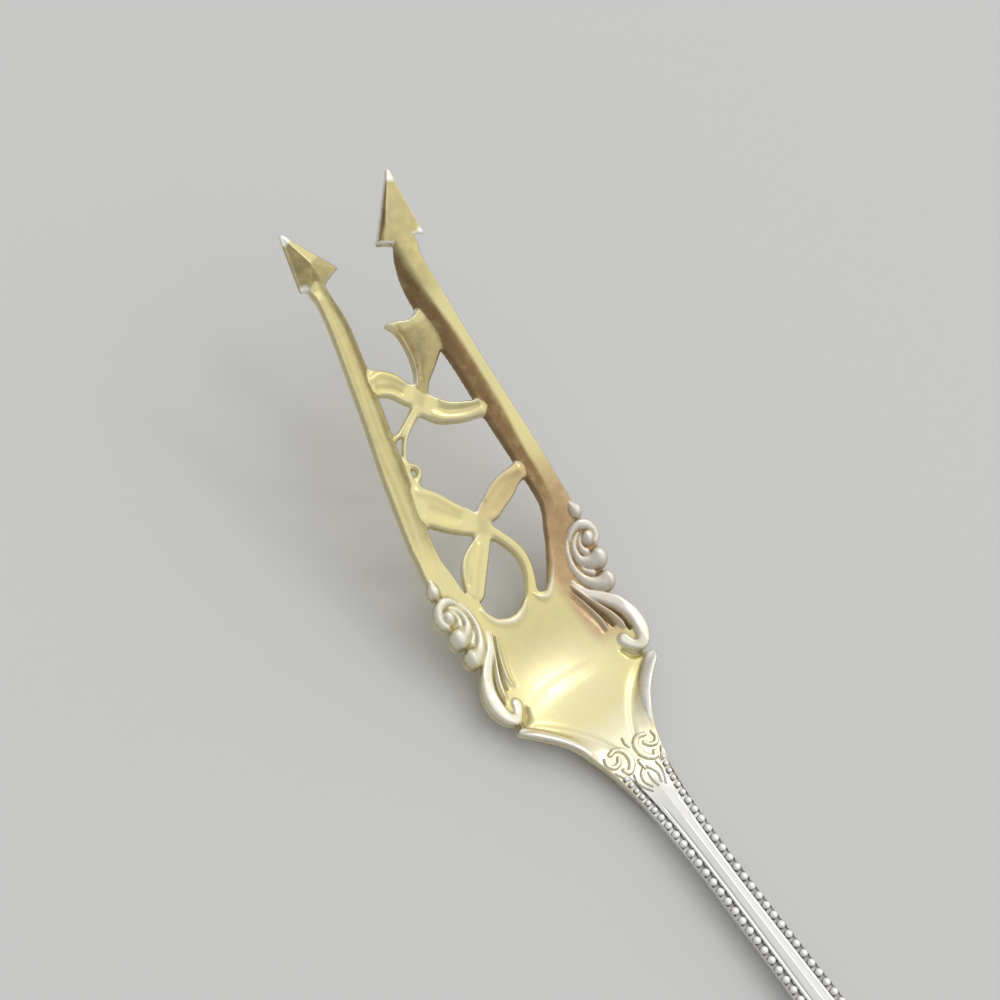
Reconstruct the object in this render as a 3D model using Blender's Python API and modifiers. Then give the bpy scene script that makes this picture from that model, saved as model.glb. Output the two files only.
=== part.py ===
"""Pickle fork: a beaded silver handle and a gilt, pierced head with two barbed tines.

Metres, +X from the handle's end to the points, +Y to the fork's left, +Z up.
The fork lies face up, and the flat under its handle is at z = 0.
A station is a distance ahead of the neck line, where the ornament meets the bowl.
"""
import math

import bmesh
import bpy
from mathutils import Matrix, Vector

# Overall sizes
OVERALL_LENGTH = 0.150
HEAD_LENGTH = 0.0598
HANDLE_THICKNESS = 0.0021
SEAM = 0.0002

# Rise of the head above the handle, and the dish of its face
HEAD_SLOPE = 0.393
BEND_STATION = 0.0128
BEND_SOFTNESS = 0.005
DISH_DEPTH = 0.0012
DISH_START = 0.0015
DISH_RUN = 0.0075
DISH_HALF_WIDTH = 0.0092

# Handle outline
HANDLE_HALF_WIDTH = 0.00205
END_FLARE = 0.0030
END_FLARE_POWER = 2
END_ROUND = 0.0080
HEEL_FLARE = 0.0018
HEEL_FLARE_LENGTH = 0.0049
SIDE_HEIGHT = 0.0007
UNDER_CHAMFER = 0.0009

# Handle splits and relief
TERMINAL_LENGTH = 0.032
NECK_LENGTH = 0.009
NECK_FRONT = 0.0013
RIDGE_HEIGHT = 0.0003
LEDGE_DEPTH = 0.00055
LEDGE_LEAST = 0.00002
LEDGE_FADE_START = -0.0045
LEDGE_FADE_END = -0.0020
EDGE_STRIP = 0.00025
BEAD_RADIUS = 0.00042
BEAD_PITCH = 0.0012
FIRST_BEAD_RADIUS = 0.00027
FIRST_BEAD_STATION = -0.0026
BEAD_GROWTH_LENGTH = 0.0085
BEAD_WAIST = 0.45

# Neck ornament
NECK_SCROLL_RADIUS = 0.00125
NECK_SCROLL_STATION = -0.0006
NECK_SCROLL_OFFSET = 0.00205
NECK_SCROLL_ROD = 0.00025
NECK_SCROLL_SWEEP = 150.0
NECK_BEAD_RADIUS = 0.00040

# Bowl and heel rims
BOWL_THICKNESS = 0.0011
BOWL_HALF_WIDTH = 0.0085
HEEL_CORNER = 0.0068
HEEL_RIM_RADIUS = 0.00038
ARM_FRONT = 0.0240
ARM_INNER = 0.0067
SLOT_HEEL = 0.0180
SLOT_HEEL_OFFSET = 0.0029
SLOT_WIDTH = 0.0007
SLOT_BOW_DEPTH = 0.00046
BAY_STATION = 0.0204
BAY_OFFSET = 0.0019
BAY_LENGTH = 0.0060
BAY_WIDTH = 0.0055
BAY_FIRST_TURN = 92.0
BAY_LAST_TURN = 218.0
LEAF_SEAT_STATION = 0.0213
LEAF_SEAT_OFFSET = 0.00645

# Scroll shoulders
SCROLL_START = 0.0074
SCROLL_LENGTH = 0.0071
SCROLL_ROD = 0.00082
SCROLL_END_ROD = 0.00034
LOWER_LOBE_LENGTH = 0.0017
LOWER_LOBE_WIDTH = 0.0022
UPPER_LOBE_LENGTH = 0.0021
UPPER_LOBE_WIDTH = 0.0025
LOBE_HEIGHT = 0.0017
VOLUTE_RADIUS = 0.0014
VOLUTE_HEIGHT = 0.0017
VOLUTE_GROOVE = 0.0003
VOLUTE_EYE_SHARE = 0.30
VOLUTE_GROOVE_SHARES = (0.45, 0.58)
VOLUTE_RIM_SHARES = (0.78, 0.93)
VOLUTE_FOOT_SHARE = 0.85
KNOB_RADIUS = 0.00070
KNOB_TURN = 2.5
LOBE_SEAT_OFFSET = 0.0079
SHOULDER_DROP = 0.0003

# Tines and barbed points
TINE_ROOT_OFFSET = 0.0082
TINE_END_OFFSET = 0.0052
TINE_ROOT_WIDTH = 0.0028
TINE_END_WIDTH = 0.0030
TINE_SWELL_WIDTH = 0.0004
TINE_ROOT_DROP = 0.00085
TINE_END_DROP = 0.00045
TINE_THICKNESS = 0.0011
TINE_TILT = 45.0
TINE_LEAN_STATION = 0.0270
TINE_LEAN_LENGTH = 0.0265
TINE_SKEW_LENGTH = 0.0057
TINE_ROUNDING = 2.4
LEFT_POINT_LENGTH = 0.0053
LEFT_POINT_WIDTH = 0.0049
LEFT_TIP_OFFSET = 0.0069
RIGHT_POINT_LENGTH = 0.0063
RIGHT_POINT_WIDTH = 0.0057
RIGHT_TIP_OFFSET = 0.00775
POINT_THICKNESS = 0.0013
POINT_BLUNT = 0.0002

# Pierced sprigs between the tines
LEAF_THICKNESS = 0.0009
LEAF_BASE_WIDTH = 0.0011
LOWER_HUB_STATION = 0.0260
LOWER_HUB_OFFSET = 0.0003
LOWER_HUB_RADIUS = 0.0008
LOWER_LEFT_LEAF_REACH = 0.0048
LOWER_LEFT_LEAF_WIDTH = 0.0027
LOWER_LEFT_LEAF_TIP = 0.0026
LOWER_LEFT_LEAF_BOW = 0.0003
LOWER_RIGHT_LEAF_REACH = 0.0028
LOWER_RIGHT_LEAF_WIDTH = 0.0026
LOWER_RIGHT_LEAF_TIP = 0.0009
LOWER_RIGHT_LEAF_BOW = 0.0007
BOWL_LEAF_WIDTH = 0.0027
BOWL_LEAF_TIP = 0.0005
CURVED_STEM_ROD = 0.00052
CURVED_STEM_SAG = 0.0026
CURVED_STEM_HEADING = 231.0
UPPER_HUB_STATION = 0.0394
UPPER_HUB_OFFSET = 0.0004
UPPER_HUB_RADIUS = 0.0007
UPPER_LEFT_LEAF_REACH = 0.0038
UPPER_LEFT_LEAF_WIDTH = 0.0022
UPPER_LEFT_LEAF_TIP = 0.0017
UPPER_LEFT_LEAF_BOW = 0.0006
UPPER_RIGHT_LEAF_SETBACK = 0.0033
UPPER_RIGHT_LEAF_WIDTH = 0.0020
UPPER_RIGHT_LEAF_TIP = 0.0012
UPPER_RIGHT_LEAF_BOW = 0.0006
BUD_LEAF_REACH = 0.0074
BUD_LEAF_WIDTH = 0.0046
BUD_TIP_WIDTH = 0.0036
BUD_LEAF_HOLLOW = 0.0006
STEM_ROD = 0.00025
LONG_STEM_SETBACK = 0.0047
LONG_STEM_HEADING = 124.0
LONG_STEM_BEND = 0.0050
SHORT_STEM_SETBACK = 0.0020
SHORT_STEM_HEADING = 102.0
SHORT_STEM_BEND = 0.0012
SHORT_STEM_START = 0.0018
SIDE_BUD_SETBACK = 0.0018
SIDE_BUD_LENGTH = 0.0012
SIDE_BUD_RADIUS = 0.0005
SIDE_BUD_TIP_RADIUS = 0.0001

# Finishes
SILVER = (0.86, 0.85, 0.82)
GILT = (0.78, 0.67, 0.38)
ROUGHNESS = 0.24

# Fineness of the curved shapes
WELD = 1e-6
SHAFT_RINGS = 10
NECK_RINGS = 14
END_RINGS = 7
END_FIRST_TURN = 4.0
END_LAST_TURN = 76.0
BEAD_STEPS = 12
ROD_RINGS = 9
SCROLL_RINGS = 11
BAY_STEPS = 10
HEEL_ROWS = 7
SHOULDER_ROWS = 8
ARM_ROWS = 9
BOWL_COLUMNS = 15
BALL_SIDES = 14
BALL_RINGS = 8
VOLUTE_STEPS = 18
TINE_RINGS = 18
TINE_SIDES = 14
HUB_SIDES = 16
LEAF_STEPS = 9
BUD_RINGS = 5

# Values worked out from the sizes above
NECK_X = OVERALL_LENGTH / 2 - HEAD_LENGTH
HANDLE_LENGTH = OVERALL_LENGTH - HEAD_LENGTH
ROUND_STATION = END_ROUND - HANDLE_LENGTH
BEAD_BORDER = EDGE_STRIP + 2 * BEAD_RADIUS + SEAM
TINE_START = ARM_FRONT + SEAM
POINT_STATION = HEAD_LENGTH - RIGHT_POINT_LENGTH
TINE_END = POINT_STATION - SEAM
LOWER_HUB = (LOWER_HUB_STATION, LOWER_HUB_OFFSET)
UPPER_HUB = (UPPER_HUB_STATION, UPPER_HUB_OFFSET)
SIDES = {"left": 1, "right": -1}
POINT_LENGTHS = {"left": LEFT_POINT_LENGTH, "right": RIGHT_POINT_LENGTH}
POINT_WIDTHS = {"left": LEFT_POINT_WIDTH, "right": RIGHT_POINT_WIDTH}
TIP_OFFSETS = {"left": LEFT_TIP_OFFSET, "right": RIGHT_TIP_OFFSET}
UP = Vector((0, 0, 1))


def clear_scene():
    """Empty the scene and make one collection for the fork and one for its cutters."""
    for item in list(bpy.data.objects):
        bpy.data.objects.remove(item, do_unlink=True)
    made = {}
    for name in ("pickle_fork", "cutters"):
        made[name] = bpy.data.collections.new(name)
        bpy.context.scene.collection.children.link(made[name])
    return made


COLLECTIONS = clear_scene()


def metal(name, colour, roughness):
    """A polished metal in one colour."""
    finish = bpy.data.materials.new(name)
    finish.use_nodes = True
    shader = finish.node_tree.nodes["Principled BSDF"]
    shader.inputs["Base Color"].default_value = (*colour, 1.0)
    shader.inputs["Metallic"].default_value = 1.0
    shader.inputs["Roughness"].default_value = roughness
    return finish


def own_finish(name, kind):
    """Each sub-part has a material of its own, silver on the handle and gilt on the head."""
    colours = {"silver": SILVER, "gilt": GILT}
    return metal(name + "_" + kind, colours[kind], ROUGHNESS)


def place(name, data, kind, matrix=None):
    """Link a mesh or a curve as one named sub-part with its own finish."""
    part = bpy.data.objects.new(name, data)
    data.materials.append(own_finish(name, kind))
    if matrix is not None:
        part.matrix_world = matrix
    COLLECTIONS["pickle_fork"].objects.link(part)
    return part


def smoothstep(value):
    value = min(max(value, 0.0), 1.0)
    return value * value * (3 - 2 * value)


def mix(first, last, share):
    return first + (last - first) * share


def at(station, offset, height):
    """The point a distance ahead of the neck line, off the axis to the left, and above the table."""
    return Vector((NECK_X + station, offset, height))


def ramp(station):
    """Height of the head's rim: level with the handle, then a soft bend into a steady rise."""
    ahead = station - BEND_STATION
    return HANDLE_THICKNESS + HEAD_SLOPE * (math.hypot(ahead, BEND_SOFTNESS) + ahead) / 2


def face(station, offset):
    """Height of the head's face, which is dished below its rim."""
    across = max(0.0, 1 - (offset / DISH_HALF_WIDTH) ** 2)
    return ramp(station) - DISH_DEPTH * smoothstep((station - DISH_START) / DISH_RUN) * across


def slope_turn(station):
    """A turn about Y that lays a flat piece along the rise of the head."""
    step = BOWL_THICKNESS
    rise = (ramp(station + step) - ramp(station - step)) / (2 * step)
    return Matrix.Rotation(-math.atan(rise), 4, "Y")


def half_width(station):
    """Half the width of the handle, which swells to its rounded end and flares into the heel."""
    behind = max(0.0, -station) / HANDLE_LENGTH
    width = HANDLE_HALF_WIDTH + END_FLARE * behind ** END_FLARE_POWER
    width += HEEL_FLARE * math.exp(station / HEEL_FLARE_LENGTH)
    if station < ROUND_STATION:
        share = min((ROUND_STATION - station) / END_ROUND, 1.0)
        width *= math.sqrt(1 - share * share)
    return width


def ledge_depth(station):
    """Depth of the ledge that carries the beads, which fades out under the neck ornament."""
    fade = smoothstep((station - LEDGE_FADE_START) / (LEDGE_FADE_END - LEDGE_FADE_START))
    return mix(LEDGE_DEPTH, LEDGE_LEAST, fade)


def underside(station):
    """Height of the handle's underside, which lifts off the table where the neck thins."""
    share = smoothstep((station + NECK_LENGTH) / (NECK_LENGTH + NECK_FRONT))
    return mix(0.0, ramp(station) - BOWL_THICKNESS, share)


def loft(name, rings, kind):
    """Skin a row of unlike closed sections, all with the same number of points, and cap its ends."""
    shape = bmesh.new()
    loops = [[shape.verts.new(point) for point in ring] for ring in rings]
    count = len(rings[0])
    for near, far in zip(loops, loops[1:]):
        for i in range(count):
            j = (i + 1) % count
            shape.faces.new((near[i], near[j], far[j], far[i]))
    shape.faces.new(loops[0])
    shape.faces.new(loops[-1])
    bmesh.ops.recalc_face_normals(shape, faces=shape.faces)
    mesh = bpy.data.meshes.new(name)
    shape.to_mesh(mesh)
    shape.free()
    return place(name, mesh, kind)


def rod(name, points, radii, kind, fineness=2):
    """A round rod along a path, with its own radius at each point."""
    curve = bpy.data.curves.new(name, "CURVE")
    curve.dimensions = "3D"
    curve.bevel_depth = max(radii)
    curve.bevel_resolution = fineness
    curve.use_fill_caps = True
    spline = curve.splines.new("POLY")
    spline.points.add(len(points) - 1)
    for knot, point, radius in zip(spline.points, points, radii):
        knot.co = (*point, 1.0)
        knot.radius = radius / curve.bevel_depth
    return place(name, curve, kind)


def prism(name, outline, thickness):
    """A closed mesh plate from a flat outline, half its thickness to each side."""
    curve = bpy.data.curves.new(name, "CURVE")
    curve.dimensions = "2D"
    curve.fill_mode = "BOTH"
    curve.extrude = thickness / 2
    spline = curve.splines.new("POLY")
    spline.points.add(len(outline) - 1)
    for knot, point in zip(spline.points, outline):
        knot.co = (point[0], point[1], 0.0, 1.0)
    spline.use_cyclic_u = True
    holder = bpy.data.objects.new(name, curve)
    COLLECTIONS["cutters"].objects.link(holder)
    bpy.context.view_layer.update()
    solid = holder.evaluated_get(bpy.context.evaluated_depsgraph_get())
    mesh = bpy.data.meshes.new_from_object(solid)
    bpy.data.objects.remove(holder, do_unlink=True)
    shape = bmesh.new()
    shape.from_mesh(mesh)
    bmesh.ops.remove_doubles(shape, verts=shape.verts, dist=WELD)
    bmesh.ops.recalc_face_normals(shape, faces=shape.faces)
    shape.to_mesh(mesh)
    shape.free()
    return mesh


def ball(name, centre, radii, kind, turn=Matrix.Identity(4)):
    """An egg with three radii, turned and set at its centre."""
    shape = bmesh.new()
    bmesh.ops.create_uvsphere(shape, u_segments=BALL_SIDES, v_segments=BALL_RINGS, radius=1.0)
    bmesh.ops.scale(shape, vec=radii, verts=shape.verts)
    mesh = bpy.data.meshes.new(name)
    shape.to_mesh(mesh)
    shape.free()
    mesh.shade_smooth()
    return place(name, mesh, kind, Matrix.Translation(centre) @ turn)


def handle_ring(station, ridge):
    """One section of the handle: ridge, two bead ledges, sides, and a chamfered flat underside."""
    outer = half_width(station)
    inner = outer - BEAD_BORDER
    top = ramp(station)
    shelf = top - ledge_depth(station)
    bottom = underside(station)
    side = max(shelf - SIDE_HEIGHT, mix(bottom, shelf, 0.5))
    half = [(inner, top), (inner, shelf), (outer, shelf), (outer, side)]
    half.append((max(outer - UNDER_CHAMFER, outer / 2), bottom))
    ring = [at(station, 0, top + ridge)]
    ring += [at(station, y, z) for y, z in half]
    ring += [at(station, -y, z) for y, z in reversed(half)]
    return ring


def stations(first, last, count):
    return [mix(first, last, i / (count - 1)) for i in range(count)]


def build_handle():
    """The shaft and the neck, each lofted along its own stations."""
    shaft_start = TERMINAL_LENGTH - HANDLE_LENGTH + SEAM
    shaft_end = -NECK_LENGTH - SEAM
    shaft = [handle_ring(s, RIDGE_HEIGHT) for s in stations(shaft_start, shaft_end, SHAFT_RINGS)]
    loft("handle_shaft", shaft, "silver")
    neck = []
    for station in stations(-NECK_LENGTH, NECK_FRONT, NECK_RINGS):
        fade = smoothstep((-station - NECK_LENGTH / 2) / (NECK_LENGTH / 2))
        neck.append(handle_ring(station, RIDGE_HEIGHT * fade))
    loft("neck", neck, "silver")


def build_terminal():
    """The rounded end: a plate with a raised panel, whose ends share the handle's outline."""
    first = -HANDLE_LENGTH
    last = TERMINAL_LENGTH - HANDLE_LENGTH
    shelf = HANDLE_THICKNESS - LEDGE_DEPTH
    turns = [math.radians(a) for a in stations(END_FIRST_TURN, END_LAST_TURN, END_RINGS)]
    rounding = [first + END_ROUND * (1 - math.cos(t)) for t in turns]
    plate = []
    for station in rounding + stations(ROUND_STATION, last, END_RINGS):
        outer = half_width(station)
        foot = max(outer - UNDER_CHAMFER, outer / 2)
        half = [(outer, shelf), (outer, shelf - SIDE_HEIGHT), (foot, 0.0)]
        ring = [at(station, y, z) for y, z in half]
        plate.append(ring + [at(station, -y, z) for y, z in reversed(half)])
    body = loft("handle_terminal", plate, "silver")
    reach = END_ROUND - BEAD_BORDER
    broad = half_width(ROUND_STATION) - BEAD_BORDER
    panel = []
    for turn in turns:
        station = ROUND_STATION - reach * math.cos(turn)
        panel.append((station, broad * math.sin(turn)))
    panel += [(s, half_width(s) - BEAD_BORDER) for s in stations(ROUND_STATION, last, END_RINGS)]
    rings = []
    for station, inner in panel:
        ring = [at(station, 0, HANDLE_THICKNESS + RIDGE_HEIGHT)]
        for side in (1, -1):
            pair = [at(station, side * inner, HANDLE_THICKNESS)]
            pair.append(at(station, side * inner, shelf - SIDE_HEIGHT / 2))
            ring += pair if side == 1 else pair[::-1]
        rings.append(ring)
    raised = loft("terminal_panel", rings, "silver")
    join(body, raised)


def join(body, tool):
    """Add a closed mesh to a sub-part, and keep only the sum."""
    union = body.modifiers.new("panel", "BOOLEAN")
    union.operation = "UNION"
    union.object = tool
    hide_tool(tool)


def cut(body, tool):
    """Take a closed mesh away from a sub-part."""
    bite = body.modifiers.new("cut", "BOOLEAN")
    bite.operation = "DIFFERENCE"
    bite.object = tool
    hide_tool(tool)


def hide_tool(tool):
    for holder in list(tool.users_collection):
        holder.objects.unlink(tool)
    COLLECTIONS["cutters"].objects.link(tool)
    tool.hide_render = True
    tool.display_type = "WIRE"


def bead_line(side):
    """The line of bead centres: the handle's outline drawn in by the strip and a bead's radius."""
    inset = EDGE_STRIP + BEAD_RADIUS
    step = BEAD_PITCH / BEAD_STEPS
    line = []
    station = FIRST_BEAD_STATION
    while station > -HANDLE_LENGTH + step / 2:
        near = half_width(station + step / 2)
        far = half_width(station - step / 2)
        normal = Vector(((near - far) / step, -1.0)).normalized()
        spot = Vector((station, half_width(station))) + inset * normal
        if spot.y < BEAD_RADIUS + SEAM:
            break
        if not line or (spot - line[-1]).length > step / 4:
            line.append(spot)
        station -= step
    return [Vector((spot.x, side * spot.y)) for spot in line]


def bead_radius(station):
    """Beads grow from the neck to their full size along the handle."""
    share = (FIRST_BEAD_STATION - station) / BEAD_GROWTH_LENGTH
    return mix(FIRST_BEAD_RADIUS, BEAD_RADIUS, smoothstep(share))


def build_beads():
    """A beaded wire on each ledge: swells and waists taken in turn along the line."""
    for name, side in SIDES.items():
        line = bead_line(side)
        points = []
        radii = []
        walked = 0.0
        due = 0.0
        waist = False
        for before, after in zip(line, line[1:]):
            walked += (after - before).length
            if walked < due:
                continue
            radius = bead_radius(after.x)
            height = ramp(after.x) - ledge_depth(after.x) + SEAM + radius
            points.append(at(after.x, after.y, height))
            radii.append(radius * (BEAD_WAIST if waist else 1.0))
            due += BEAD_PITCH / 2 * radius / BEAD_RADIUS
            waist = not waist
        rod(name + "_bead_row", points, radii, "silver", fineness=1)


def build_neck_ornament():
    """Two small C-scrolls, back to back, and the bead between them."""
    height = ramp(NECK_SCROLL_STATION) + SEAM + NECK_SCROLL_ROD
    for name, side in SIDES.items():
        points = []
        for angle in stations(-NECK_SCROLL_SWEEP / 2, NECK_SCROLL_SWEEP / 2, ROD_RINGS):
            turn = math.radians(angle)
            station = NECK_SCROLL_STATION + NECK_SCROLL_RADIUS * math.sin(turn)
            offset = NECK_SCROLL_OFFSET - NECK_SCROLL_RADIUS * math.cos(turn)
            points.append(at(station, side * offset, height + ramp(station) - ramp(NECK_SCROLL_STATION)))
        rod(name + "_neck_scroll", points, [NECK_SCROLL_ROD] * ROD_RINGS, "silver")
    seat = ramp(NECK_SCROLL_STATION) + SEAM + NECK_BEAD_RADIUS
    ball("neck_bead", at(NECK_SCROLL_STATION, 0, seat), [NECK_BEAD_RADIUS] * 3, "silver")


def heel_inset(station, depth):
    """Half the width of a line that runs a depth inside the heel's slanting outline."""
    slant = HEEL_FLARE / HEEL_FLARE_LENGTH * math.exp(station / HEEL_FLARE_LENGTH)
    return half_width(station) - depth * math.hypot(1.0, slant)


def bowl_edge(station):
    """Half the width of the bowl, inside its heel rims and its scroll shoulders."""
    if station < HEEL_CORNER:
        return heel_inset(station, 2 * HEEL_RIM_RADIUS + SEAM)
    if station < SCROLL_START + SCROLL_LENGTH:
        return BOWL_HALF_WIDTH
    return LOBE_SEAT_OFFSET


def front_opening():
    """Outline of what is open in front of the bowl: the round bay, the slot and the leaf's seat."""
    bay = []
    for angle in stations(BAY_FIRST_TURN, BAY_LAST_TURN, BAY_STEPS):
        turn = math.radians(angle)
        along = BAY_STATION + BAY_LENGTH / 2 * math.cos(turn)
        bay.append((along, BAY_OFFSET + BAY_WIDTH / 2 * math.sin(turn)))
    beyond = ARM_FRONT + 3 * BOWL_THICKNESS
    wide = BOWL_HALF_WIDTH + BOWL_THICKNESS
    outline = [(beyond, wide), (ARM_FRONT, wide), (ARM_FRONT, ARM_INNER)]
    outline.append((LEAF_SEAT_STATION, LEAF_SEAT_OFFSET))
    outline += bay
    outline.append((SLOT_HEEL, SLOT_WIDTH - SLOT_HEEL_OFFSET))
    outline.append((SLOT_HEEL, -SLOT_HEEL_OFFSET))
    bow = mix(SLOT_HEEL_OFFSET, ARM_INNER, 0.5) + SLOT_BOW_DEPTH
    outline.append((mix(SLOT_HEEL, ARM_FRONT, 0.5), -bow))
    outline += [(ARM_FRONT, -ARM_INNER), (ARM_FRONT, -wide), (beyond, -wide)]
    return [(NECK_X + station, offset) for station, offset in outline]


def build_bowl():
    """A dished plate from the neck to the roots of the tines, open in front."""
    start = NECK_FRONT + SEAM
    trim = ARM_FRONT + BOWL_THICKNESS
    scroll_end = SCROLL_START + SCROLL_LENGTH
    rows = stations(start, HEEL_CORNER, HEEL_ROWS)
    rows += stations(HEEL_CORNER + SEAM, scroll_end - SEAM, SHOULDER_ROWS)
    rows += stations(scroll_end, trim, ARM_ROWS)
    across = stations(-1.0, 1.0, BOWL_COLUMNS)
    shape = bmesh.new()
    bmesh.ops.create_grid(shape, x_segments=len(rows) - 1, y_segments=len(across) - 1, size=1.0)
    for vert in shape.verts:
        row = rows[round((vert.co.x + 1) / 2 * (len(rows) - 1))]
        share = across[round((vert.co.y + 1) / 2 * (len(across) - 1))]
        offset = share * bowl_edge(row)
        vert.co = at(row, offset, face(row, offset))
    mesh = bpy.data.meshes.new("bowl")
    shape.to_mesh(mesh)
    shape.free()
    mesh.shade_smooth()
    body = place("bowl", mesh, "gilt")
    wall = body.modifiers.new("wall", "SOLIDIFY")
    wall.thickness = BOWL_THICKNESS
    wall.offset = -1.0
    opening = place("front_opening", prism("front_opening", front_opening(), HEAD_LENGTH), "gilt")
    cut(body, opening)


def build_heel_rims():
    """A rounded rim along each concave edge of the heel, from the neck to the corner."""
    for name, side in SIDES.items():
        points = []
        for station in stations(NECK_FRONT + SEAM + HEEL_RIM_RADIUS, HEEL_CORNER, ROD_RINGS):
            offset = heel_inset(station, HEEL_RIM_RADIUS)
            height = ramp(station) - BOWL_THICKNESS / 2
            points.append(at(station, side * offset, height))
        rod(name + "_heel_rim", points, [HEEL_RIM_RADIUS] * ROD_RINGS, "gilt")


def build_scrolls():
    """Each shoulder in order from the heel: C-scroll, two lobes, volute and knob."""
    for name, side in SIDES.items():
        seat = BOWL_HALF_WIDTH + SEAM
        points = []
        radii = []
        for share in stations(0.0, 1.0, SCROLL_RINGS):
            swell = math.sin(math.pi * share)
            radius = mix(SCROLL_END_ROD, SCROLL_ROD, swell)
            station = SCROLL_START + SCROLL_LENGTH * share
            points.append(at(station, side * (seat + radius), ramp(station) - SHOULDER_DROP))
            radii.append(radius)
        rod(name + "_c_scroll", points, radii, "gilt")
        reached = SCROLL_START + SCROLL_LENGTH
        seat = LOBE_SEAT_OFFSET + SEAM
        lobes = [("lower_lobe", LOWER_LOBE_LENGTH, LOWER_LOBE_WIDTH)]
        lobes.append(("upper_lobe", UPPER_LOBE_LENGTH, UPPER_LOBE_WIDTH))
        for kind, length, width in lobes:
            station = reached + SEAM + length / 2
            centre = at(station, side * (seat + width / 2), ramp(station) - SHOULDER_DROP)
            radii = (length / 2, width / 2, LOBE_HEIGHT / 2)
            ball(name + "_" + kind, centre, radii, "gilt", slope_turn(station))
            reached = station + length / 2
        station = reached + SEAM + VOLUTE_RADIUS
        centre = at(station, side * (seat + VOLUTE_RADIUS), ramp(station) - SHOULDER_DROP)
        volute(name + "_volute", centre, slope_turn(station))
        apart = VOLUTE_RADIUS + SEAM + KNOB_RADIUS
        turn = math.radians(KNOB_TURN)
        station += apart * math.cos(turn)
        offset = seat + VOLUTE_RADIUS + apart * math.sin(turn)
        centre = at(station, side * offset, ramp(station) - SHOULDER_DROP)
        ball(name + "_knob", centre, [KNOB_RADIUS] * 3, "gilt")


def volute(name, centre, turn):
    """A turned button with a raised eye, a groove and a rolled rim."""
    top = VOLUTE_HEIGHT / 2
    low = top - VOLUTE_GROOVE
    crest, shoulder = VOLUTE_RIM_SHARES
    profile = [(0.0, top), (VOLUTE_EYE_SHARE, top)]
    profile += [(share, low) for share in VOLUTE_GROOVE_SHARES]
    profile += [(crest, top), (shoulder, top - VOLUTE_GROOVE / 2), (1.0, 0.0)]
    profile += [(VOLUTE_FOOT_SHARE, -top), (0.0, -top)]
    shape = bmesh.new()
    row = [shape.verts.new((VOLUTE_RADIUS * x, 0.0, z)) for x, z in profile]
    for upper, lower in zip(row, row[1:]):
        shape.edges.new((upper, lower))
    mesh = bpy.data.meshes.new(name)
    shape.to_mesh(mesh)
    shape.free()
    part = place(name, mesh, "gilt", Matrix.Translation(centre) @ turn)
    spin = part.modifiers.new("turning", "SCREW")
    spin.axis = "Z"
    spin.steps = VOLUTE_STEPS
    spin.render_steps = VOLUTE_STEPS
    spin.use_merge_vertices = True
    spin.merge_threshold = WELD


def tine_share(station):
    return (station - TINE_START) / (TINE_END - TINE_START)


def tine_width(station):
    share = tine_share(station)
    return mix(TINE_ROOT_WIDTH, TINE_END_WIDTH, share) + TINE_SWELL_WIDTH * math.sin(math.pi * share)


def tine_offset(station):
    return mix(TINE_ROOT_OFFSET, TINE_END_OFFSET, smoothstep(tine_share(station)))


def tine_tilt(station):
    """Angle by which a tine's face leans towards its fellow, which grows steadily from the root."""
    return math.radians(TINE_TILT) * max(0.0, station - TINE_LEAN_STATION) / TINE_LEAN_LENGTH


def tine_height(station):
    """Height of the middle of a tine's section."""
    return ramp(station) - mix(TINE_ROOT_DROP, TINE_END_DROP, tine_share(station))


def tine_seat(station, side):
    """The point on a tine's inner edge at a station, where a leaf or a stem meets it."""
    reach = tine_width(station) / 2
    turn = tine_tilt(station)
    offset = tine_offset(station) - math.hypot(reach * math.cos(turn), TINE_THICKNESS / 2 * math.sin(turn))
    return at(station, side * offset, tine_height(station) - reach * math.sin(turn))


def point_slant(name):
    """How far a barbed point turns outward for each unit of its length."""
    return (TIP_OFFSETS[name] - TINE_END_OFFSET) / POINT_LENGTHS[name]


def tine_ring(station, name):
    """A flattened oval across the tine, tilted inward, skewed at the end to face the point."""
    side = SIDES[name]
    skew = point_slant(name) * smoothstep(1 - (TINE_END - station) / TINE_SKEW_LENGTH)
    turn = tine_tilt(station)
    ring = []
    for i in range(TINE_SIDES):
        angle = 2 * math.pi * i / TINE_SIDES
        wide = math.copysign(abs(math.cos(angle)) ** (2 / TINE_ROUNDING), math.cos(angle))
        tall = math.copysign(abs(math.sin(angle)) ** (2 / TINE_ROUNDING), math.sin(angle))
        wide *= tine_width(station) / 2
        tall *= TINE_THICKNESS / 2
        across = wide * math.cos(turn) - tall * math.sin(turn)
        height = tine_height(station) + wide * math.sin(turn) + tall * math.cos(turn)
        ring.append(at(station - skew * across, side * (tine_offset(station) + across), height))
    return ring


def build_tines():
    """Two flattened tines that draw together and tilt inward, each with its barbed point."""
    for name, side in SIDES.items():
        rings = [tine_ring(station, name) for station in stations(TINE_START, TINE_END, TINE_RINGS)]
        loft(name + "_tine", rings, "gilt")
        width = POINT_WIDTHS[name]
        tip_station = POINT_STATION + POINT_LENGTHS[name]
        base = at(POINT_STATION, side * TINE_END_OFFSET, tine_height(POINT_STATION))
        tip = at(tip_station, side * TIP_OFFSETS[name], tine_height(tip_station))
        forward = (tip - base).normalized()
        across = UP.cross(forward).normalized()
        upward = forward.cross(across)
        rings = []
        for share, scale in ((0.0, 1.0), (1.0, POINT_BLUNT / width)):
            middle = base.lerp(tip, share)
            wide = across * (width / 2 * scale)
            tall = upward * (POINT_THICKNESS / 2 * max(scale, POINT_BLUNT / POINT_THICKNESS))
            rings.append([middle + wide, middle + tall, middle - wide, middle - tall])
        loft(name + "_barbed_point", rings, "gilt")


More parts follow.
